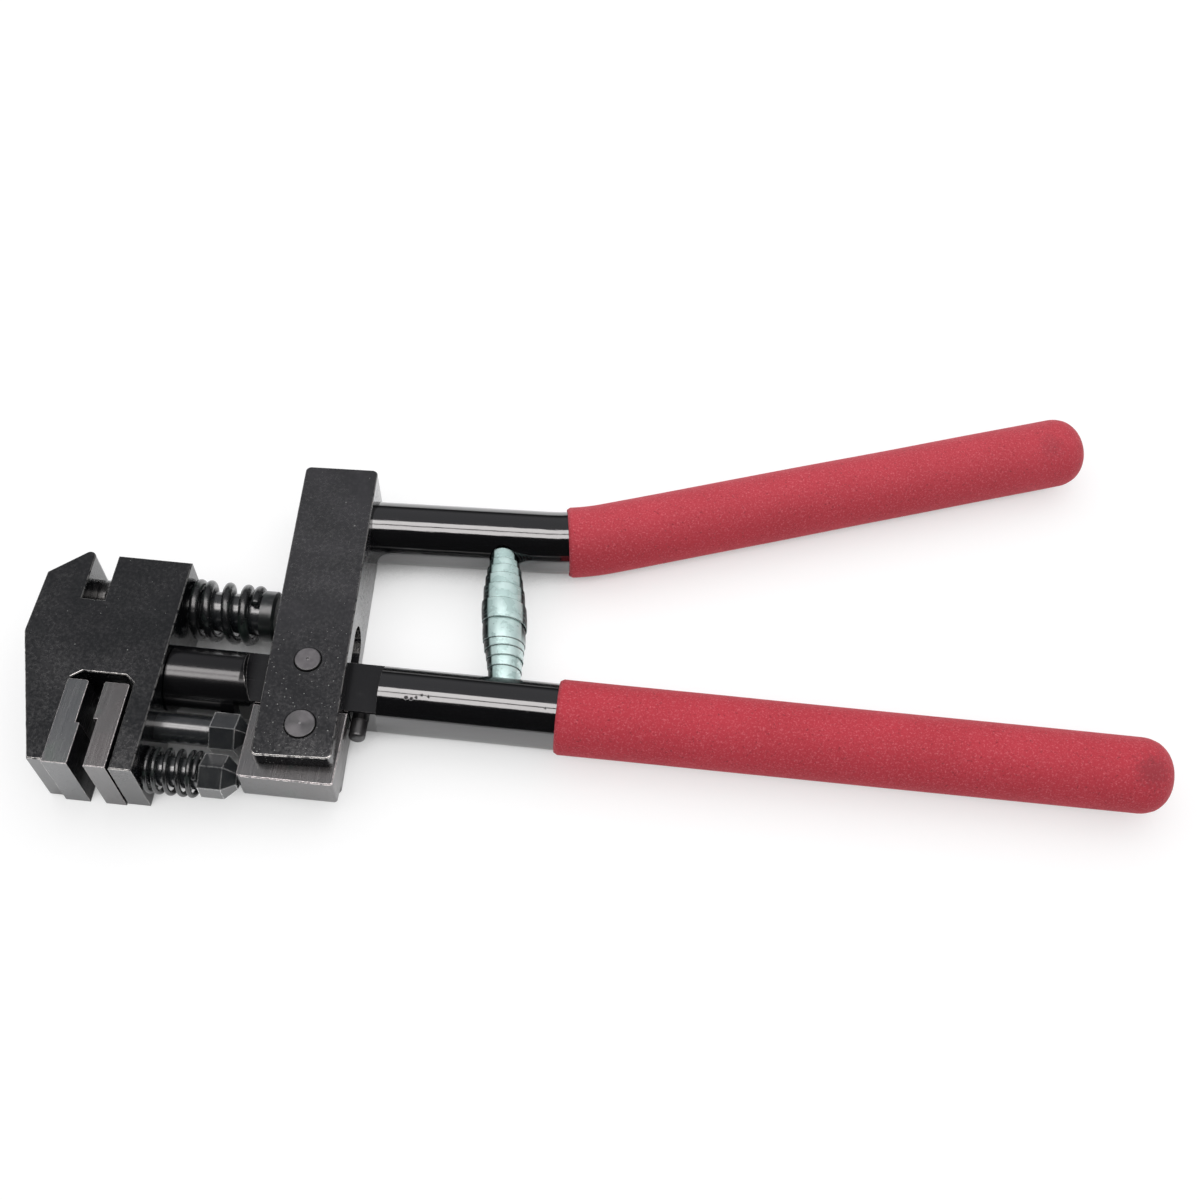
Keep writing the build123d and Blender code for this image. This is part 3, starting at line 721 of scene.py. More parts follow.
@dataclass(frozen=True)
class TurnedPin(Finish):
    """Pin whose end face shows turning rings, a painted sheen and a painted shade ring at its edge.
    """

    axis: Line = (0.0, 0.0)
    radius: float = 3.5
    painted_sheen: float = 0.0
    painted_sheen_angle: float = 1.15
    colour: Colour = (0.076, 0.069, 0.075)
    painted_sheen_tone: Colour = (0.010, 0.0105, 0.012)
    painted_rim_tone: Colour = (0.016, 0.015, 0.016)
    centre_tone: Colour = (0.16, 0.155, 0.16)
    edge: Colour = (0.55, 0.53, 0.53)
    ragged: Patches = Patches(0.9, 4.0, 0.6, 0.36, 0.55)
    ring_rate: float = 21.0
    rim_depths: Line = (0.45, 0.10)
    centre_mark: Line = (0.42, 0.22)
    edge_width: float = 0.28
    ior: float = 1.7

    def dress(self, graph: Graph) -> None:
        """Rings about the pin's own axis, a painted sheen, a painted shade ring and a bright rim.

        Args:
            graph: The graph to fill.
        """
        reach = graph.reach(self.axis)
        rings = graph.math("SINE", graph.times(reach, self.ring_rate))
        cloud = graph.noise(0.6, 4.0, 0.6)
        ring_tone = graph.times(graph.level(rings, -1.0, 1.0), graph.level(cloud, 0.3, 0.7))
        colour = graph.blend(ring_tone, self.colour, tuple(1.45 * c for c in self.colour))
        # Painted reflection: the face is darkened except in two opposite lobes about the axis, the
        # sheen of a turned face under the light.
        if self.painted_sheen:
            across = graph.minus(graph.along(0), self.axis[0])
            upward = graph.minus(graph.along(1), self.axis[1])
            turned = graph.minus(graph.math("ARCTAN2", upward, across), self.painted_sheen_angle)
            swing = graph.math("COSINE", graph.times(turned, 2.0))
            dim = graph.times(graph.level(swing, 0.9, -0.9), self.painted_sheen)
            colour = graph.blend(dim, colour, self.painted_sheen_tone)
        # Painted shade: a dark ring just inside the pin's edge stands for the shadow in the gap
        # round the pin.
        outer = graph.level(reach, *[self.radius - depth for depth in self.rim_depths])
        colour = graph.blend(outer, colour, self.painted_rim_tone)
        colour = graph.blend(graph.level(reach, *self.centre_mark), colour, self.centre_tone)
        bright_edge = graph.times(graph.sharp_edge_mask(self.edge_width), graph.patches(self.ragged))
        graph.set("Base Color", graph.blend(bright_edge, colour, self.edge))
        graph.set("Metallic", graph.times(bright_edge, 0.8))
        graph.set("Roughness", graph.level(cloud, 0.3, 0.7, 0.28, 0.40))
        graph.set("IOR", self.ior)
        graph.bump(graph.plus(graph.times(rings, 0.4), cloud), 0.006)


@dataclass(frozen=True)
class BrightSteel(Finish):
    """Turned steel of the bushes."""

    colour: Colour = (0.10, 0.098, 0.096)
    dark: Colour = (0.02, 0.02, 0.021)
    dull: Patches = Patches(0.35, 4.0, 0.6, 0.45, 0.65)
    line_scale: Point = (3.2, 0.25, 0.25)

    def dress(self, graph: Graph) -> None:
        """Turning lines round the bush and dull patches.

        Args:
            graph: The graph to fill.
        """
        cut = graph.noise(1.0, 3.0, 0.5, where=graph.stretch(self.line_scale))
        dull = graph.patches(self.dull)
        graph.set("Base Color", graph.blend(dull, self.colour, self.dark))
        graph.set("Metallic", graph.level(dull, 0.0, 1.0, 0.95, 0.6))
        graph.set("Roughness", graph.level(cut, 0.3, 0.7, 0.22, 0.38))
        graph.bump(cut, 0.008)


@dataclass(frozen=True)
class SpringWire(Finish):
    """Oiled black spring wire."""

    colour: Colour = (0.006, 0.0065, 0.007)
    tint: Colour = (0.008, 0.015, 0.012)
    rubbed: Colour = (0.06, 0.06, 0.06)
    film: Patches = Patches(0.25, 4.0, 0.6, 0.48, 0.68, warp=0.8)
    rub: Patches = Patches(0.9, 4.0, 0.6, 0.60, 0.72)
    roughness: float = 0.26
    film_roughness: float = 0.07
    rub_roughness: float = 0.16

    def dress(self, graph: Graph) -> None:
        """Oil film with a cool tint and rubbed spots.

        Args:
            graph: The graph to fill.
        """
        film, rub = graph.patches(self.film), graph.patches(self.rub)
        colour = graph.blend(film, self.colour, self.tint)
        graph.set("Base Color", graph.blend(graph.times(rub, 0.5), colour, self.rubbed))
        oiled = self.roughness + self.film_roughness
        filmed = graph.level(film, 0.0, 1.0, self.roughness, oiled)
        graph.set("Roughness", graph.plus(graph.times(rub, self.rub_roughness), filmed))
        graph.set("IOR", 1.7)
        graph.bump(graph.noise(1.6, 4.0, 0.6), 0.010)


@dataclass(frozen=True)
class BlackPlunger(Finish):
    """Turned and blackened plungers, punch and screws."""

    colour: Colour = (0.014, 0.016, 0.018)
    patch: Colour = (0.024, 0.026, 0.027)
    edge: Colour = (0.85, 0.85, 0.84)
    dull: Patches = Patches(0.3, 4.0, 0.6, 0.42, 0.66)
    ragged: Patches = Patches(0.8, 4.0, 0.6, 0.32, 0.46)
    line_scale: Point = (4.0, 0.3, 0.3)
    roughness: float = 0.22

    def dress(self, graph: Graph) -> None:
        """Turning lines, tool marks and bright corners, a painted highlight that is partly rubbed
        steel.

        Args:
            graph: The graph to fill.
        """
        cut = graph.noise(1.0, 4.0, 0.6, where=graph.stretch(self.line_scale))
        colour = graph.blend(graph.patches(self.dull), self.colour, self.patch)
        # Painted highlight: a wide bright line along every corner stands for the corner highlights,
        # broken into ragged patches.
        bright_edge = graph.times(graph.sharp_edge_mask(0.50, 0.012, 0.06), graph.patches(self.ragged))
        graph.set("Base Color", graph.blend(bright_edge, colour, self.edge))
        graph.set("Metallic", graph.times(bright_edge, 0.85))
        smooth, rough = self.roughness - 0.02, self.roughness + 0.04
        graph.set("Roughness", graph.level(cut, 0.3, 0.7, smooth, rough))
        graph.set("IOR", 2.0)
        graph.bump(graph.plus(cut, graph.times(graph.noise(2.4, 4.0, 0.6), 0.6)), 0.002)


@dataclass(frozen=True)
class ZincStrip(Finish):
    """Pale blue-green zinc plating on the wound strip."""

    colour: Colour = (0.50, 0.67, 0.645)
    pale: Colour = (0.62, 0.79, 0.765)
    painted_shade: Colour = (0.006, 0.009, 0.009)
    cloud: Patches = Patches(0.28, 3.0, 0.5, 0.36, 0.66, warp=0.3)
    drag_scale: Point = (0.5, 1.6, 0.5)
    drag_turn: float = 8.0
    right_flank: Line = (14.0, 20.0)

    def dress(self, graph: Graph) -> None:
        """Cloudy plating with faint drag lines, and painted shade on the sides and along the turn
        edges.

        Args:
            graph: The graph to fill.
        """
        cloud = graph.patches(self.cloud)
        drag = graph.noise(1.0, 3.0, 0.5, where=graph.stretch(self.drag_scale, self.drag_turn))
        colour = graph.blend(cloud, self.colour, self.pale)
        # Painted shade: the sides stand for the dark reflections there, and the turn edges for the
        # shade in the gaps between turns.
        right = graph.times(
            graph.facing(RIGHT, 0.76, 0.86), graph.level(graph.along(1), *self.right_flank)
        )
        flank_shade = graph.times(
            graph.largest(graph.facing(LEFT, 0.62, 0.74), right),
            graph.level(drag, 0.30, 0.50, 0.85, 1.0),
        )
        dark = graph.largest(flank_shade, graph.sharp_edge_mask(0.45, 0.02, 0.08))
        graph.set("Base Color", graph.blend(dark, colour, self.painted_shade))
        graph.set("Metallic", graph.times(graph.minus(1.0, dark), 0.25))
        graph.set("IOR", graph.minus(1.5, graph.times(dark, 0.35)))
        graph.set("Roughness", graph.level(graph.plus(cloud, drag), 0.5, 1.5, 0.26, 0.34))
        graph.bump(graph.plus(cloud, graph.times(drag, 0.6)), 0.010)


@dataclass(frozen=True)
class FoamRubber(Finish):
    """Matte red foam with fine cells, faint sparkle and dirty patches."""

    lit: Colour = (0.56, 0.035, 0.058)
    deep: Colour = (0.42, 0.022, 0.036)
    cell: Colour = (0.70, 0.15, 0.18)
    sparkle: Colour = (0.85, 0.42, 0.42)
    pore: Colour = (0.16, 0.008, 0.016)
    grime: Colour = (0.09, 0.020, 0.028)
    faded: Colour = (0.85, 0.24, 0.28)
    broad: Patches = Patches(0.05, 3.0, 0.5, 0.2, 0.8, 0.2, 0.55)
    pores: Patches = Patches(1.3, 4.0, 0.7, 0.42, 0.30)
    pore_cover: float = 0.75
    cell_cover: float = 0.70
    glint: Point = (0.75, 0.22, 0.10)
    glint_cover: float = 0.18
    smudge: Point = ORIGIN
    smudge_size: float = 4.0
    dirt: float = 0.4
    fade: float = 0.0

    def dress(self, graph: Graph) -> None:
        """Foam cells, pores and smudges.

        Args:
            graph: The graph to fill.
        """
        grain = graph.noise(1.9, 5.0, 0.75)
        colour = graph.blend(graph.patches(self.broad), self.lit, self.deep)
        cells = graph.level(grain, 0.50, 0.66, 0.0, self.cell_cover)
        colour = graph.blend(cells, colour, self.cell)
        glint = graph.times(graph.specks(*self.glint), self.glint_cover)
        colour = graph.blend(glint, colour, self.sparkle)
        pores = graph.times(graph.patches(self.pores), self.pore_cover)
        colour = graph.blend(pores, colour, self.pore)
        dirt = graph.times(graph.spot(self.smudge, self.smudge_size, 5.0, 2.2), self.dirt)
        colour = graph.blend(dirt, colour, self.grime)
        graph.set("Base Color", graph.blend(self.fade, colour, self.faded))
        graph.set("Roughness", 0.88)
        graph.set("Specular IOR Level", 0.35)
        graph.set("Sheen Weight", 0.17)
        graph.set("Sheen Roughness", 0.45)
        graph.set("Sheen Tint", (1.0, 0.72, 0.74))
        graph.bump(graph.plus(grain, graph.times(graph.noise(0.5, 3.0, 0.5), 0.8)), 0.11)


@dataclass(frozen=True)
class PaleFloor(Finish):
    """Plain white studio floor that shows a light, soft shadow."""

    colour: Colour = (0.93, 0.93, 0.935)
    tone: Patches = Patches(0.01, 2.0, 0.5, 0.3, 0.7)
    dimmed: float = 0.99
    seen: Colour = (0.44, 0.44, 0.44)
    seen_glow: float = 0.60
    open_sky: Line = (0.02, 0.34)
    sky_reach: float = 80.0
    mirror_gain: float = 0.52
    mirror_glow: float = 0.06
    far: Line = (330.0, 1100.0)

    def dress(self, graph: Graph) -> None:
        """Matte white with a barely uneven tone.

        Args:
            graph: The graph to fill.
        """
        dim = tuple(self.dimmed * c for c in self.colour)
        graph.set("Base Color", graph.blend(graph.patches(self.tone), self.colour, dim))
        graph.set("Roughness", 1.0)
        graph.set("Specular IOR Level", 0.0)

    def surface(self, graph: Graph) -> Socket:
        """A brighter floor in mirrors, and one with a light shadow for camera rays.

        Args:
            graph: The dressed graph.

        Returns:
            The shader that the floor ends in.
        """
        ray = graph.add("LightPath").outputs
        mirrored = graph.largest(ray["Is Glossy Ray"], ray["Is Transmission Ray"])
        gain = graph.blend(graph.times(mirrored, self.mirror_gain), BLACK, WHITE)
        lit = graph.joined(
            graph.shader.outputs["BSDF"],
            graph.fill("BsdfDiffuse", "Color", gain),
            graph.fill("Emission", "Strength", graph.times(mirrored, self.mirror_glow)),
        )
        sky = graph.add("AmbientOcclusion", samples=16)
        sky.inputs["Distance"].default_value = self.sky_reach * MM
        near = graph.level(sky.outputs["AO"], *self.open_sky, 0.0, self.seen_glow)
        distant = graph.level(graph.reach((0.0, 0.0)), *self.far)
        shown = graph.joined(
            graph.fill("BsdfDiffuse", "Color", self.seen),
            graph.fill("Emission", "Strength", graph.plus(near, distant)),
        )
        pick = graph.add("MixShader")
        for place, value in enumerate((ray["Is Camera Ray"], lit, shown)):
            graph.feed(pick.inputs[place], value)
        return pick.outputs["Shader"]


# ---------------------------------------------------------------- mesh helpers
def mesh_object(name: str, rings: list[list[Vector]]) -> bpy.types.Object:
    """Skin a row of rings with quads and cap both ends.

    Args:
        name: Name of the piece.
        rings: Rings of equally many points in metres, in order.

    Returns:
        The new object.
    """
    builder = bmesh.new()
    rows = [[builder.verts.new(point) for point in ring] for ring in rings]
    count = len(rows[0])
    for here, there in zip(rows, rows[1:]):
        for i in range(count):
            j = (i + 1) % count
            builder.faces.new((here[i], here[j], there[j], there[i]))
    builder.faces.new(list(reversed(rows[0])))
    builder.faces.new(rows[-1])
    bmesh.ops.recalc_face_normals(builder, faces=builder.faces)
    mesh = bpy.data.meshes.new(name)
    builder.to_mesh(mesh)
    builder.free()
    for face in mesh.polygons:
        face.use_smooth = True
    piece = bpy.data.objects.new(name, mesh)
    bpy.context.collection.objects.link(piece)
    return piece


def frame_at(points: list[Vector], i: int, up: Vector) -> tuple[Vector, Vector]:
    """Directions beside and above a path at one of its points.

    Args:
        points: The path.
        i: Index of the point.
        up: Rough upward direction.

    Returns:
        Unit vectors beside and above.
    """
    along = (points[min(i + 1, len(points) - 1)] - points[max(i - 1, 0)]).normalized()
    beside = along.cross(up).normalized()
    return beside, beside.cross(along).normalized()


def smooth_course(values: list[float], t: float) -> float:
    """Smooth curve through evenly spaced values.

    Args:
        values: The values at 0, 1, 2 and so on.
        t: Where to read it.

    Returns:
        The value there.
    """
    t = min(max(t, 0.0), len(values) - 1.0)
    i = min(int(t), len(values) - 2)
    u = t - i
    a, b = values[i], values[i + 1]
    before = values[i - 1] if i > 0 else 2 * a - b
    after = values[i + 2] if i + 2 < len(values) else 2 * b - a
    ma, mb = (b - before) / 2, (after - a) / 2
    return (
        (2 * u**3 - 3 * u**2 + 1) * a
        + (u**3 - 2 * u**2 + u) * ma
        + (3 * u**2 - 2 * u**3) * b
        + (u**3 - u**2) * mb
    )


# ---------------------------------------------------------------- springs
@dataclass
class CoilSpring:
    """Round-wire compression spring along X with closed end turns."""

    name: str
    node: str
    joint: str
    axis: tuple[float, float]
    outer_radius: float
    wire: float
    crests: list[float]
    start_angle: float
    end_angle: float
    keep: float
    sag: float = 0.0
    seat: float = -37.6
    first_pitch: float = 0.35
    last_pitch: float = 1.05
    tip: float = 0.86
    steps_per_turn: int = 64
    sides: int = 20
    finish: Finish = field(default_factory=lambda: SpringWire("spring_wire"))

    def centre(self, turns: float) -> Vector:
        """A point on the wire's centre line.

        Args:
            turns: Turns from the first crest.

        Returns:
            The point in metres.
        """
        angle = 2 * math.pi * turns
        radius = self.outer_radius - self.wire / 2
        if 0 <= turns <= len(self.crests) - 1:
            x = smooth_course(self.crests, turns)
        elif turns < 0:
            x = self.crests[0] + turns * self.wire * self.first_pitch
        else:
            x = self.crests[-1] + (turns - len(self.crests) + 1) * self.wire * self.last_pitch
        share = (x - self.crests[0]) / (self.crests[-1] - self.crests[0])
        y = self.axis[0] + radius * math.cos(angle) - self.sag * max(share, 0.0)
        return Vector((x, y, self.axis[1] + radius * math.sin(angle))) * MM

    def build(self) -> bpy.types.Object:
        """Wind the wire and dress it.

        Returns:
            The finished piece.
        """
        first = self.start_angle / 360.0
        last = len(self.crests) - 1 + self.end_angle / 360.0
        steps = int((last - first) * self.steps_per_turn)
        path = [self.centre(first + (last - first) * i / steps) for i in range(steps + 1)]
        rings = []
        half = self.wire / 2 * MM
        round_wire = [2 * math.pi * k / self.sides for k in range(self.sides)]
        for i, point in enumerate(path):
            beside, above = frame_at(path, i, Vector((1, 0, 0)))
            size = half * (self.tip if i in (0, steps) else 1.0)
            rings.append(
                [point + (beside * math.cos(a) + above * math.sin(a)) * size for a in round_wire]
            )
        piece = mesh_object(self.name, rings)
        piece.data.materials.append(self.finish.material())
        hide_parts(self.node)
        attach(piece, Body.HEAD.value)
        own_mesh(piece)
        LOG.info("%s: %d turns of %.1f mm wire", self.name, round(last - first), self.wire)
        return piece


@dataclass
class VoluteSpring:
    """Flat strip wound into a double cone between the two handles."""

    foot: Point = (51.5, 5.2, 11.0)
    head: Point = (46.3, 42.4, 13.4)
    strip_width: float = 6.2
    strip_thickness: float = 0.34
    lowest: float = -1.15
    highest: float = 40.35
    # One entry for each turn, where the strip crosses its upper side
    lower_edges: tuple[float, ...] = (-1.15, 3.09, 5.91, 8.75, 10.99, 16.85)
    upper_edges: tuple[float, ...] = (28.1, 31.6, 34.5, 36.9, 40.35)
    radii: tuple[float, ...] = (4.35, 4.75, 5.12, 5.50, 5.88, 6.28, 5.72, 5.28, 4.85, 4.25, 3.48)
    bulge: float = 0.10
    play: float = 0.13
    round_off: float = 0.09
    end_pitches: tuple[float, float] = (2.0, 1.5)
    steps_per_turn: int = 72
    crease: float = 38.0
    seed: int = 11
    finish: Finish = field(default_factory=lambda: ZincStrip("zinc_plating"))

    def section(self, middle: float, radius: float) -> list[tuple[float, float]]:
        """Outline of the strip where it stands at one height.

        Args:
            middle: Height of its middle above the foot in millimetres.
            radius: Outer radius of the turn in millimetres.

        Returns:
            Height and radius of each corner.
        """
        half = self.strip_width / 2
        low = max(middle - half, self.lowest)
        high = min(middle + half, self.highest)
        soft, inner = self.round_off, radius - self.strip_thickness
        crown = [(0.3, 0.84), (0.5, 1.0), (0.7, 0.84)]
        return [
            (low, inner + soft),
            (low, radius - soft),
            (low + soft, radius),
            *[(low + (high - low) * at, radius + self.bulge * share) for at, share in crown],
            (high - soft, radius),
            (high, radius - soft),
            (high, inner + soft),
            (high - soft, inner),
            (low + soft, inner),
        ]

    def build(self) -> bpy.types.Object:
        """Wind the strip between bar and lever.

        Returns:
            The finished piece.
        """
        foot, head = Vector(self.foot), Vector(self.head)
        axis = (head - foot).normalized()
        side = axis.cross(Vector((0, 0, 1))).normalized()
        above = side.cross(axis).normalized()
        half = self.strip_width / 2
        middles = [edge + half for edge in self.lower_edges]
        middles += [edge - half for edge in self.upper_edges]
        radii = list(self.radii)
        turns = len(radii) - 1
        steps = self.steps_per_turn * (turns + 1)
        dice = random.Random(self.seed)
        sways = [[dice.uniform(-self.play, self.play) for _ in radii] for _ in range(2)]
        rings = []
        for i in range(steps + 1):
            t = -0.5 + (turns + 1.0) * i / steps
            angle = math.pi / 2 + 2 * math.pi * t
            middle = smooth_course(middles, t)
            if t < 0:
                middle = middles[0] + t * self.end_pitches[0]
            elif t > turns:
                middle = middles[-1] + (t - turns) * self.end_pitches[1]
            out = side * math.cos(angle) + above * math.sin(angle)
            drift = side * smooth_course(sways[0], t) + above * smooth_course(sways[1], t)
            section = self.section(middle, smooth_course(radii, t))
            rings.append([(foot + axis * a + out * r + drift) * MM for a, r in section])
        piece = mesh_object("volute_strip", rings)
        piece.data.set_sharp_from_angle(angle=math.radians(self.crease))
        piece.data.materials.append(self.finish.material())
        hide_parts("volute_spring")
        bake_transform(piece)
        LOG.info("volute strip: %d turns", turns)
        return piece


# ---------------------------------------------------------------- grips
@dataclass
class FoamGrip:
    """Foam sleeve with an open mouth and a closed round end."""

    name: str
    node: str
    body: Body
    route: list[Vector]
    seed: int
    finish: Finish
    radius: float = 10.25
    bore: float = 9.03
    end_rounding: float = 8.0
    lip: float = 0.55
    bore_depth: float = 3.0
    bore_rim: float = 0.1
    straight_start: float = 1.0
    ring_spacing: float = 1.6
    arc_steps: int = 12
    tip_step: float = 1.2
    tip_radius: float = 0.15
    unevenness: float = 0.10
    nick: Vector | None = None
    nick_reach: float = 2.4
    nick_depth: float = 0.9
    sides: int = 72

    def profile(self, length: float) -> list[tuple[float, float]]:
        """Outline of the sleeve along its length.

        Args:
            length: Length of the route in millimetres.

        Returns:
            Distance from the mouth and radius, from the bore outwards to the tip.
        """
        outline = [(self.bore_depth, self.bore), (self.lip, self.bore)]
        for i in range(self.arc_steps // 2 + 1):
            a = math.pi * i / self.arc_steps
            depth, rise = self.lip * (1 - math.sin(a)), self.lip * (1 - math.cos(a))
            outline.append((depth, self.bore + self.bore_rim + rise))
        start, straight = self.straight_start, length - self.end_rounding
        count = int((straight - start) / self.ring_spacing)
        outline += [(start + (straight - start) * i / count, self.radius) for i in range(count + 1)]
        for i in range(1, self.arc_steps + 1):
            a = math.pi / 2 * i / self.arc_steps
            outline.append(
                (
                    straight + self.end_rounding * math.sin(a),
                    self.radius - self.end_rounding * (1 - math.cos(a)),
                )
            )
        outline.append((length, self.radius - self.end_rounding - self.tip_step))
        outline.append((length, self.tip_radius))
        return outline

    def build(self) -> bpy.types.Object:
        """Turn the outline along the route and dress it.

        Returns:
            The finished piece.
        """
        lengths = [0.0]
        for a, b in zip(self.route, self.route[1:]):
            lengths.append(lengths[-1] + (b - a).length)
        courses = [[p[axis] for p in self.route] for axis in range(3)]
        dice = random.Random(self.seed)
        waves = [
            (dice.uniform(0.03, 0.16), dice.uniform(0, 6.3), dice.randint(0, 3)) for _ in range(9)
        ]
        rings = []
        for along, radius in self.profile(lengths[-1]):
            spots = [
                Vector([float(np.interp(s, lengths, values)) for values in courses])
                for s in (max(along - 0.5, 0.0), along, min(along + 0.5, lengths[-1]))
            ]
            tangent = (spots[2] - spots[0]).normalized()
            beside = tangent.cross(Vector((0, 0, 1))).normalized()
            above = beside.cross(tangent)
            ring = []
            outer = radius > self.bore + 0.4
            for k in range(self.sides):
                a = 2 * math.pi * k / self.sides
                sway = sum(math.sin(f * along + p + n * a) for f, p, n in waves) / len(waves)
                size = radius - (self.unevenness * (1 + sway) if outer else 0.0)
                point = spots[1] + (beside * math.cos(a) + above * math.sin(a)) * size
                if self.nick is not None:
                    share = max(1 - (point - self.nick).length / self.nick_reach, 0.0)
                    point += (spots[1] - point).normalized() * self.nick_depth * share**1.5
                ring.append(point * MM)
            rings.append(ring)
        piece = mesh_object(self.name, rings)
        piece.data.materials.append(self.finish.material())
        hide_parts(self.node)
        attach(piece, self.body.value)
        LOG.info("%s: sleeve %.0f mm long", self.name, lengths[-1])
        return piece


@dataclass
class HandleRoute:
    """Centre lines of the two grips, in millimetres."""

    bar_axis: tuple[float, float] = (-3.8, 11.0)
    lower_start: float = 66.9
    lower_length: float = 163.3
    rest_angle: float = 2.7
    axis_above: float = 49.2
    bend_start: float = 60.0
    bend_radius: float = 60.0
    bend_angle: float = 17.0
    upper_start: float = 66.0
    upper_straight: float = 147.4
    steps: int = 40
    bend_steps: int = 16

    def lower(self) -> list[Vector]:
        """Centre line of the lower grip."""
        xs = [self.lower_start + self.lower_length * i / self.steps for i in range(self.steps + 1)]
        return [Vector((x, *self.bar_axis)) for x in xs]

    def upper(self) -> list[Vector]:
        """Centre line of the upper grip, through the end of the bend.

        Returns:
            Its points.
        """
        turn = math.asin((self.upper_start - self.bend_start) / self.bend_radius)
        end = math.radians(self.bend_angle)
        flat = []
        for i in range(self.bend_steps + 1):
            a = turn + (end - turn) * i / self.bend_steps
            x = self.bend_start + self.bend_radius * math.sin(a)
            flat.append(Vector((x, self.axis_above + self.bend_radius * (1 - math.cos(a)), 0.0)))
        ahead = Vector((math.cos(end), math.sin(end), 0.0))
        reach = ahead * self.upper_straight
        flat += [flat[-1] + reach * i / self.steps for i in range(1, self.steps + 1)]
        tilt = Matrix.Rotation(math.radians(self.rest_angle), 3, "Z")
        return [tilt @ point + Vector((0.0, 0.0, self.bar_axis[1])) for point in flat]


# ---------------------------------------------------------------- sub-assemblies
@dataclass
class Subassembly:
    """A group of machined pieces that keep their solids and get their finishes."""

    title: str
    finishes: dict[str, Finish]

    def dress(self, nodes: dict[str, bpy.types.Object]) -> None:
        """Give each machined piece its finish.

        Args:
            nodes: The tool's solids by name.
        """
        for name, finish in self.finishes.items():
            piece = nodes[name]
            material = finish.material()
            if piece.material_slots:
                for place in piece.material_slots:
                    place.material = material
            else:
                piece.data.materials.append(material)
            LOG.info("%s: %s in %s", self.title, name, finish.name)


@dataclass
class Handles:
    """Bars, grips and the volute spring between them."""

    route: HandleRoute = field(default_factory=HandleRoute)

    def build(self, nodes: dict[str, bpy.types.Object]) -> None:
        """Dress the bars and add grips and spring.

        Args:
            nodes: The tool's solids by name.
        """
        Subassembly(
            "handles",
            {
                "central_bar": DrawnBar(
                    "gloss_bar",
                    flats=(-17.5, 19.5),
                    marks=(
                        ((27.2, -6.9, 19.4), 0.55),
                        ((28.6, -7.1, 19.4), 0.40),
                        ((29.8, -6.6, 19.6), 0.50),
                        ((31.2, -5.9, 19.7), 0.35),
                        ((33.0, -6.2, 19.7), 0.30),
                        ((64.0, -6.0, 19.7), 0.35),
                    ),
                ),
                "upper_handle": DrawnBar(
                    "gloss_handle",
                    turn=2.7,
                    marks=(
                        ((29.6, 47.6, 20.0), 0.30),
                        ((31.9, 47.2, 20.0), 0.35),
                        ((61.9, 47.9, 20.0), 0.55),
                    ),
                ),
            },
        ).dress(nodes)
        FoamGrip(
            "lower_foam_grip",
            "lower_grip",
            Body.BAR,
            self.route.lower(),
            seed=4,
            finish=FoamRubber("lower_foam", smudge=(222.5, -7.0, 20.6), dirt=0.36),
            nick=Vector((166.0, 4.0, 17.5)),
        ).build()
        FoamGrip(
            "upper_foam_grip",
            "upper_grip",
            Body.LEVER,
            self.route.upper(),
            seed=9,
            finish=FoamRubber(
                "upper_foam", smudge=(202.8, 97.7, 20.0), smudge_size=3.0, dirt=0.22, fade=0.05
            ),
        ).build()
        VoluteSpring().build()


@dataclass
class Lever:
    """Forked lever with its pins and pusher."""

    pusher_axis: tuple[float, float] = (1.844, -18.934)

    def build(self, nodes: dict[str, bpy.types.Object]) -> None:
        """Dress the lever's pieces.

        Args:
            nodes: The tool's solids by name.
        """
        Subassembly(
            "lever",
            {
                "lever_block": OxideSteel(
                    "oxide_lever",
                    dark=(0.011, 0.011, 0.0125),
                    light=(0.021, 0.020, 0.023),
                    specks=0.16,
                    dust=0.48,
                    bright_edge_share=1.0,
                    front_ior=1.25,
                    gap_shade_rings=((0.0, 0.0, 3.6), (*self.pusher_axis, 4.1)),
                ),
                "pivot_pin": TurnedPin("pin_pivot"),
                "pusher_pin": TurnedPin(
                    "pin_pusher", axis=self.pusher_axis, radius=4.0, painted_sheen=0.65
                ),
                "stop_pin": TurnedPin(
                    "pin_stop", axis=(14.7, 0.0), colour=(0.006, 0.006, 0.0065)
                ),
                "pusher_block": GroundSteel("ground_pusher"),
            },
        ).dress(nodes)


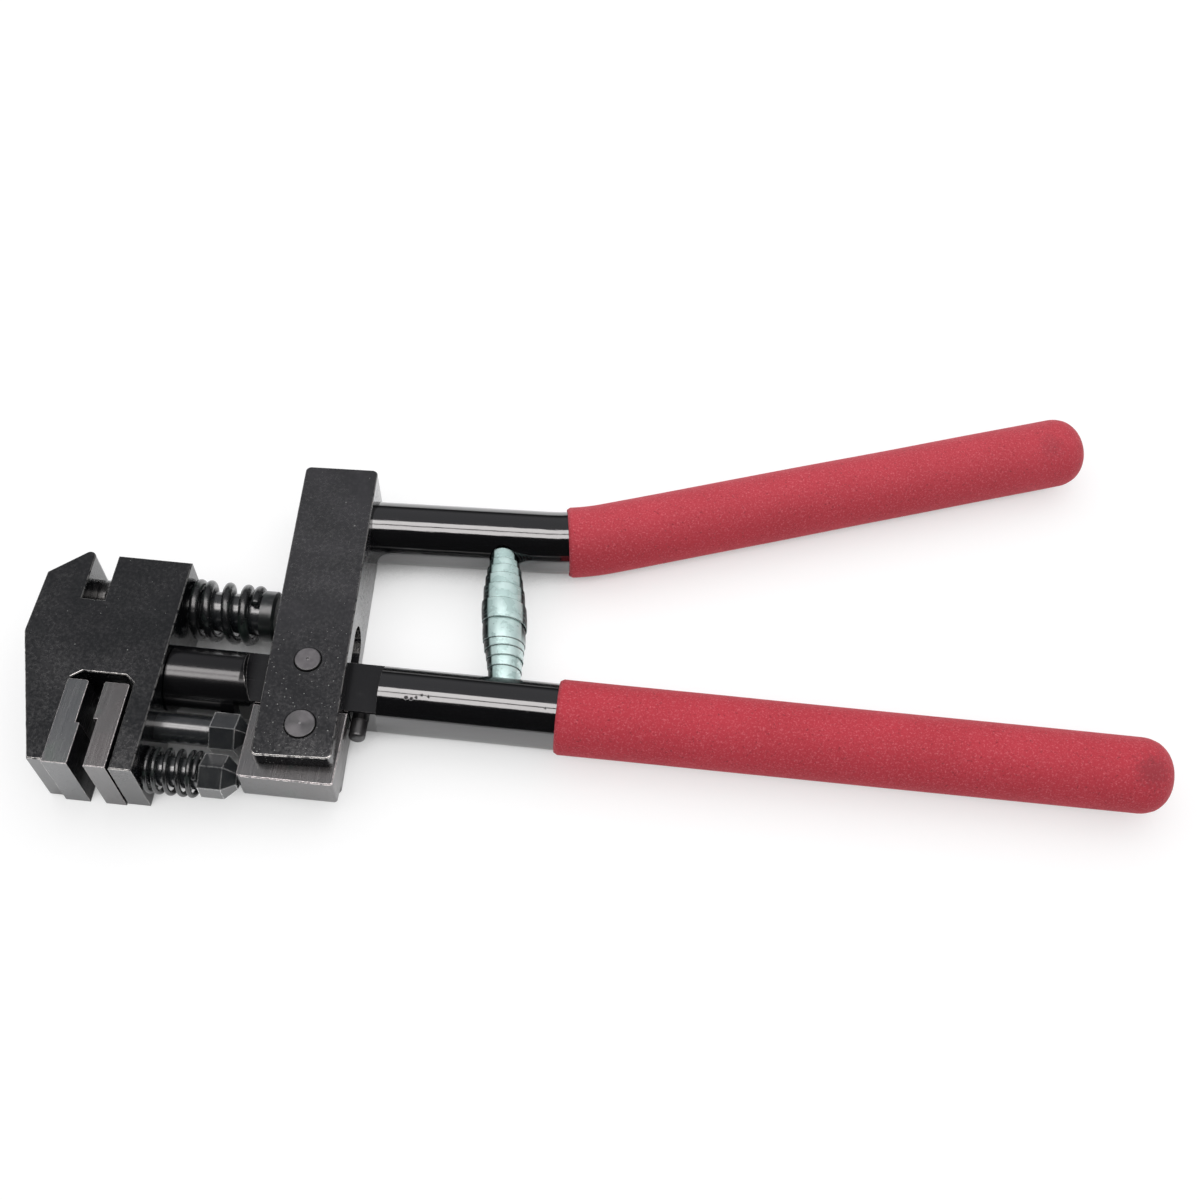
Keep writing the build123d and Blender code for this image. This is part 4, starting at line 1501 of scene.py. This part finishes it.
@dataclass
class Head:
    """Working head with dies, bushes, plungers, punch and coil springs."""

    # Painted shade on the sides of the die slot.
    die_wall_shade: Colour = (0.004, 0.004, 0.005)

    def build(self, nodes: dict[str, bpy.types.Object]) -> None:
        """Dress the head's pieces and wind its springs.

        Args:
            nodes: The tool's solids by name.
        """
        plunger = BlackPlunger("black_plunger")
        Subassembly(
            "head",
            {
                "head_body": OxideSteel("oxide_head", ior=1.68, front_ior=1.95),
                "fixed_die": GroundSteel(
                    "ground_fixed_die",
                    dark=(0.022, 0.027, 0.031),
                    light=(0.032, 0.033, 0.036),
                    wall_shade=self.die_wall_shade,
                ),
                "moving_die": GroundSteel(
                    "ground_moving_die",
                    dark=(0.030, 0.028, 0.028),
                    light=(0.046, 0.037, 0.037),
                    wall_shade=self.die_wall_shade,
                ),
                "die_bush": BrightSteel(
                    "bush_die", colour=(0.055, 0.054, 0.053), dark=(0.012, 0.012, 0.0125)
                ),
                "guide_bush": BrightSteel(
                    "bush_guide", colour=(0.72, 0.71, 0.70), dark=(0.40, 0.40, 0.40)
                ),
                "drive_plunger": plunger,
                "spring_plunger": plunger,
                "punch": plunger,
                "punch_collar": SpringWire(
                    "collar_black", colour=(0.009, 0.011, 0.011), roughness=0.30
                ),
                "retaining_screw": plunger,
                "fixed_die_screw_1": plunger,
                "fixed_die_screw_2": plunger,
            },
        ).dress(nodes)
        CoilSpring(
            name="punch_coil",
            node="punch_spring",
            joint="punch_slide",
            axis=(18.3, 11.0),
            outer_radius=8.58,
            wire=2.58,
            crests=[-36.25, -33.45, -28.3, -23.05, -19.45],
            start_angle=-10.0,
            end_angle=95.0,
            keep=0.84,
            sag=0.35,
        ).build()
        CoilSpring(
            name="joggle_coil",
            node="joggle_spring",
            joint="joggle_slide",
            axis=(-30.997, 11.0),
            outer_radius=6.23,
            wire=1.38,
            crests=[-36.85, -35.2, -32.3, -29.2, -26.0, -24.1],
            start_angle=-40.0,
            end_angle=130.0,
            keep=0.78,
        ).build()


# ---------------------------------------------------------------- studio
@dataclass
class Studio:
    """White floor, overhead soft box, dim room and the camera."""

    eye: Point = (86.85, -182.82, 359.8)
    aim: Point = (74.67, 34.27, 11.0)
    roll: float = 2.872
    lens: float = 43.706
    floor_size: float = 6.0
    floor_drop: float = 0.0001
    middle: tuple[float, float] = (0.07, 0.12)
    key_size: tuple[float, float] = (3.2, 2.8)
    key_height: float = 1.2
    key_radiance: float = 1.33
    soft_box_size: tuple[float, float] = (2.6, 0.39)
    soft_box_height: float = 1.5
    soft_box_rows: tuple[tuple[str, float], ...] = (("near", -0.255), ("far", 0.215))
    soft_box_radiance: float = 5.2
    soft_box_tone: Colour = (1.0, 0.965, 0.96)
    room: Colour = (0.016, 0.016, 0.017)
    ceiling: Colour = (0.30, 0.30, 0.315)
    ceiling_edges: tuple[Line, Line] = ((-0.05, 0.30), (0.12, 0.45))
    horizon: Line = (0.10, 0.02)

    def camera(self) -> None:
        """Place the camera."""
        eye, aim = Vector(self.eye) * MM, Vector(self.aim) * MM
        ahead = (aim - eye).normalized()
        right = ahead.cross(Vector((0, 0, 1))).normalized()
        up = right.cross(ahead)
        c, s = math.cos(math.radians(self.roll)), math.sin(math.radians(self.roll))
        across = right * c + up * s
        upward = up * c - right * s
        data = bpy.data.cameras.new("camera")
        data.lens = self.lens
        data.sensor_width = 36.0
        data.clip_start, data.clip_end = 0.01, 50.0
        camera = bpy.data.objects.new("camera", data)
        camera.matrix_world = Matrix.Translation(eye) @ Matrix(
            (
                (across.x, upward.x, -ahead.x),
                (across.y, upward.y, -ahead.y),
                (across.z, upward.z, -ahead.z),
            )
        ).to_4x4()
        bpy.context.collection.objects.link(camera)
        bpy.context.scene.camera = camera

    def floor(self) -> None:
        """Lay the floor."""
        builder = bmesh.new()
        bmesh.ops.create_grid(builder, x_segments=4, y_segments=4, size=self.floor_size)
        mesh = bpy.data.meshes.new("studio_floor")
        builder.to_mesh(mesh)
        builder.free()
        floor = bpy.data.objects.new("studio_floor", mesh)
        floor.location = (self.middle[0], 0.0, -self.floor_drop)
        bpy.context.collection.objects.link(floor)
        floor.data.materials.append(PaleFloor("pale_floor").material())

    def panel(self, name: str, size: Line, at: Point, radiance: float) -> bpy.types.Object:
        """Hang one rectangular lamp that shines straight down.

        Args:
            name: Its name.
            size: Extent along X and Y in metres.
            at: Its middle in metres.
            radiance: How bright its face is.

        Returns:
            The lamp.
        """
        data = bpy.data.lights.new(name, "AREA")
        data.shape = "RECTANGLE"
        data.size, data.size_y = size
        data.energy = radiance * math.pi * size[0] * size[1]
        lamp = bpy.data.objects.new(name, data)
        lamp.location = at
        bpy.context.collection.objects.link(lamp)
        return lamp

    def lights(self) -> None:
        """Hang the lamps."""
        key = self.panel("key", self.key_size, (*self.middle, self.key_height), self.key_radiance)
        key.visible_glossy = False
        for row, y in self.soft_box_rows:
            at = (self.middle[0], y, self.soft_box_height)
            box = self.panel(f"soft_box_{row}", self.soft_box_size, at, self.soft_box_radiance)
            box.visible_diffuse = False
            box.data.color = self.soft_box_tone

    def surroundings(self) -> None:
        """A dim room with a grey ceiling, and the pale backdrop that is seen and mirrored."""
        world = bpy.data.worlds.new("room")
        graph = Graph(world)
        way = graph.coordinate("Generated")
        (y_low, y_high), (z_low, z_high) = self.ceiling_edges
        height = graph.part(way, 2)
        share = graph.times(
            graph.level(graph.part(way, 1), y_low, y_high), graph.level(height, z_low, z_high)
        )
        ray = graph.add("LightPath").outputs
        mirrored = graph.largest(ray["Is Glossy Ray"], ray["Is Transmission Ray"])
        backdrop = graph.times(mirrored, graph.level(height, *self.horizon))
        shown = graph.largest(backdrop, ray["Is Camera Ray"])
        colour = graph.blend(shown, graph.blend(share, self.room, self.ceiling), WHITE)
        graph.close("World", graph.fill("Background", "Color", colour))
        bpy.context.scene.world = world

    def build(self) -> None:
        """Set up camera, floor, lights and surroundings."""
        self.camera()
        self.floor()
        self.lights()
        self.surroundings()
        bpy.context.scene.view_settings.view_transform = "Standard"


def main() -> None:
    """Load the frame, build the studio and every sub-assembly, and note the sizes."""
    logging.basicConfig(level=logging.INFO, format="%(name)s: %(message)s")
    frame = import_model()
    bpy.context.view_layer.update()
    nodes = frame["nodes"]
    Studio().build()
    Handles().build(nodes)
    Lever().build(nodes)
    Head().build(nodes)
    bpy.context.view_layer.update()


if __name__ == "__main__":
    main()
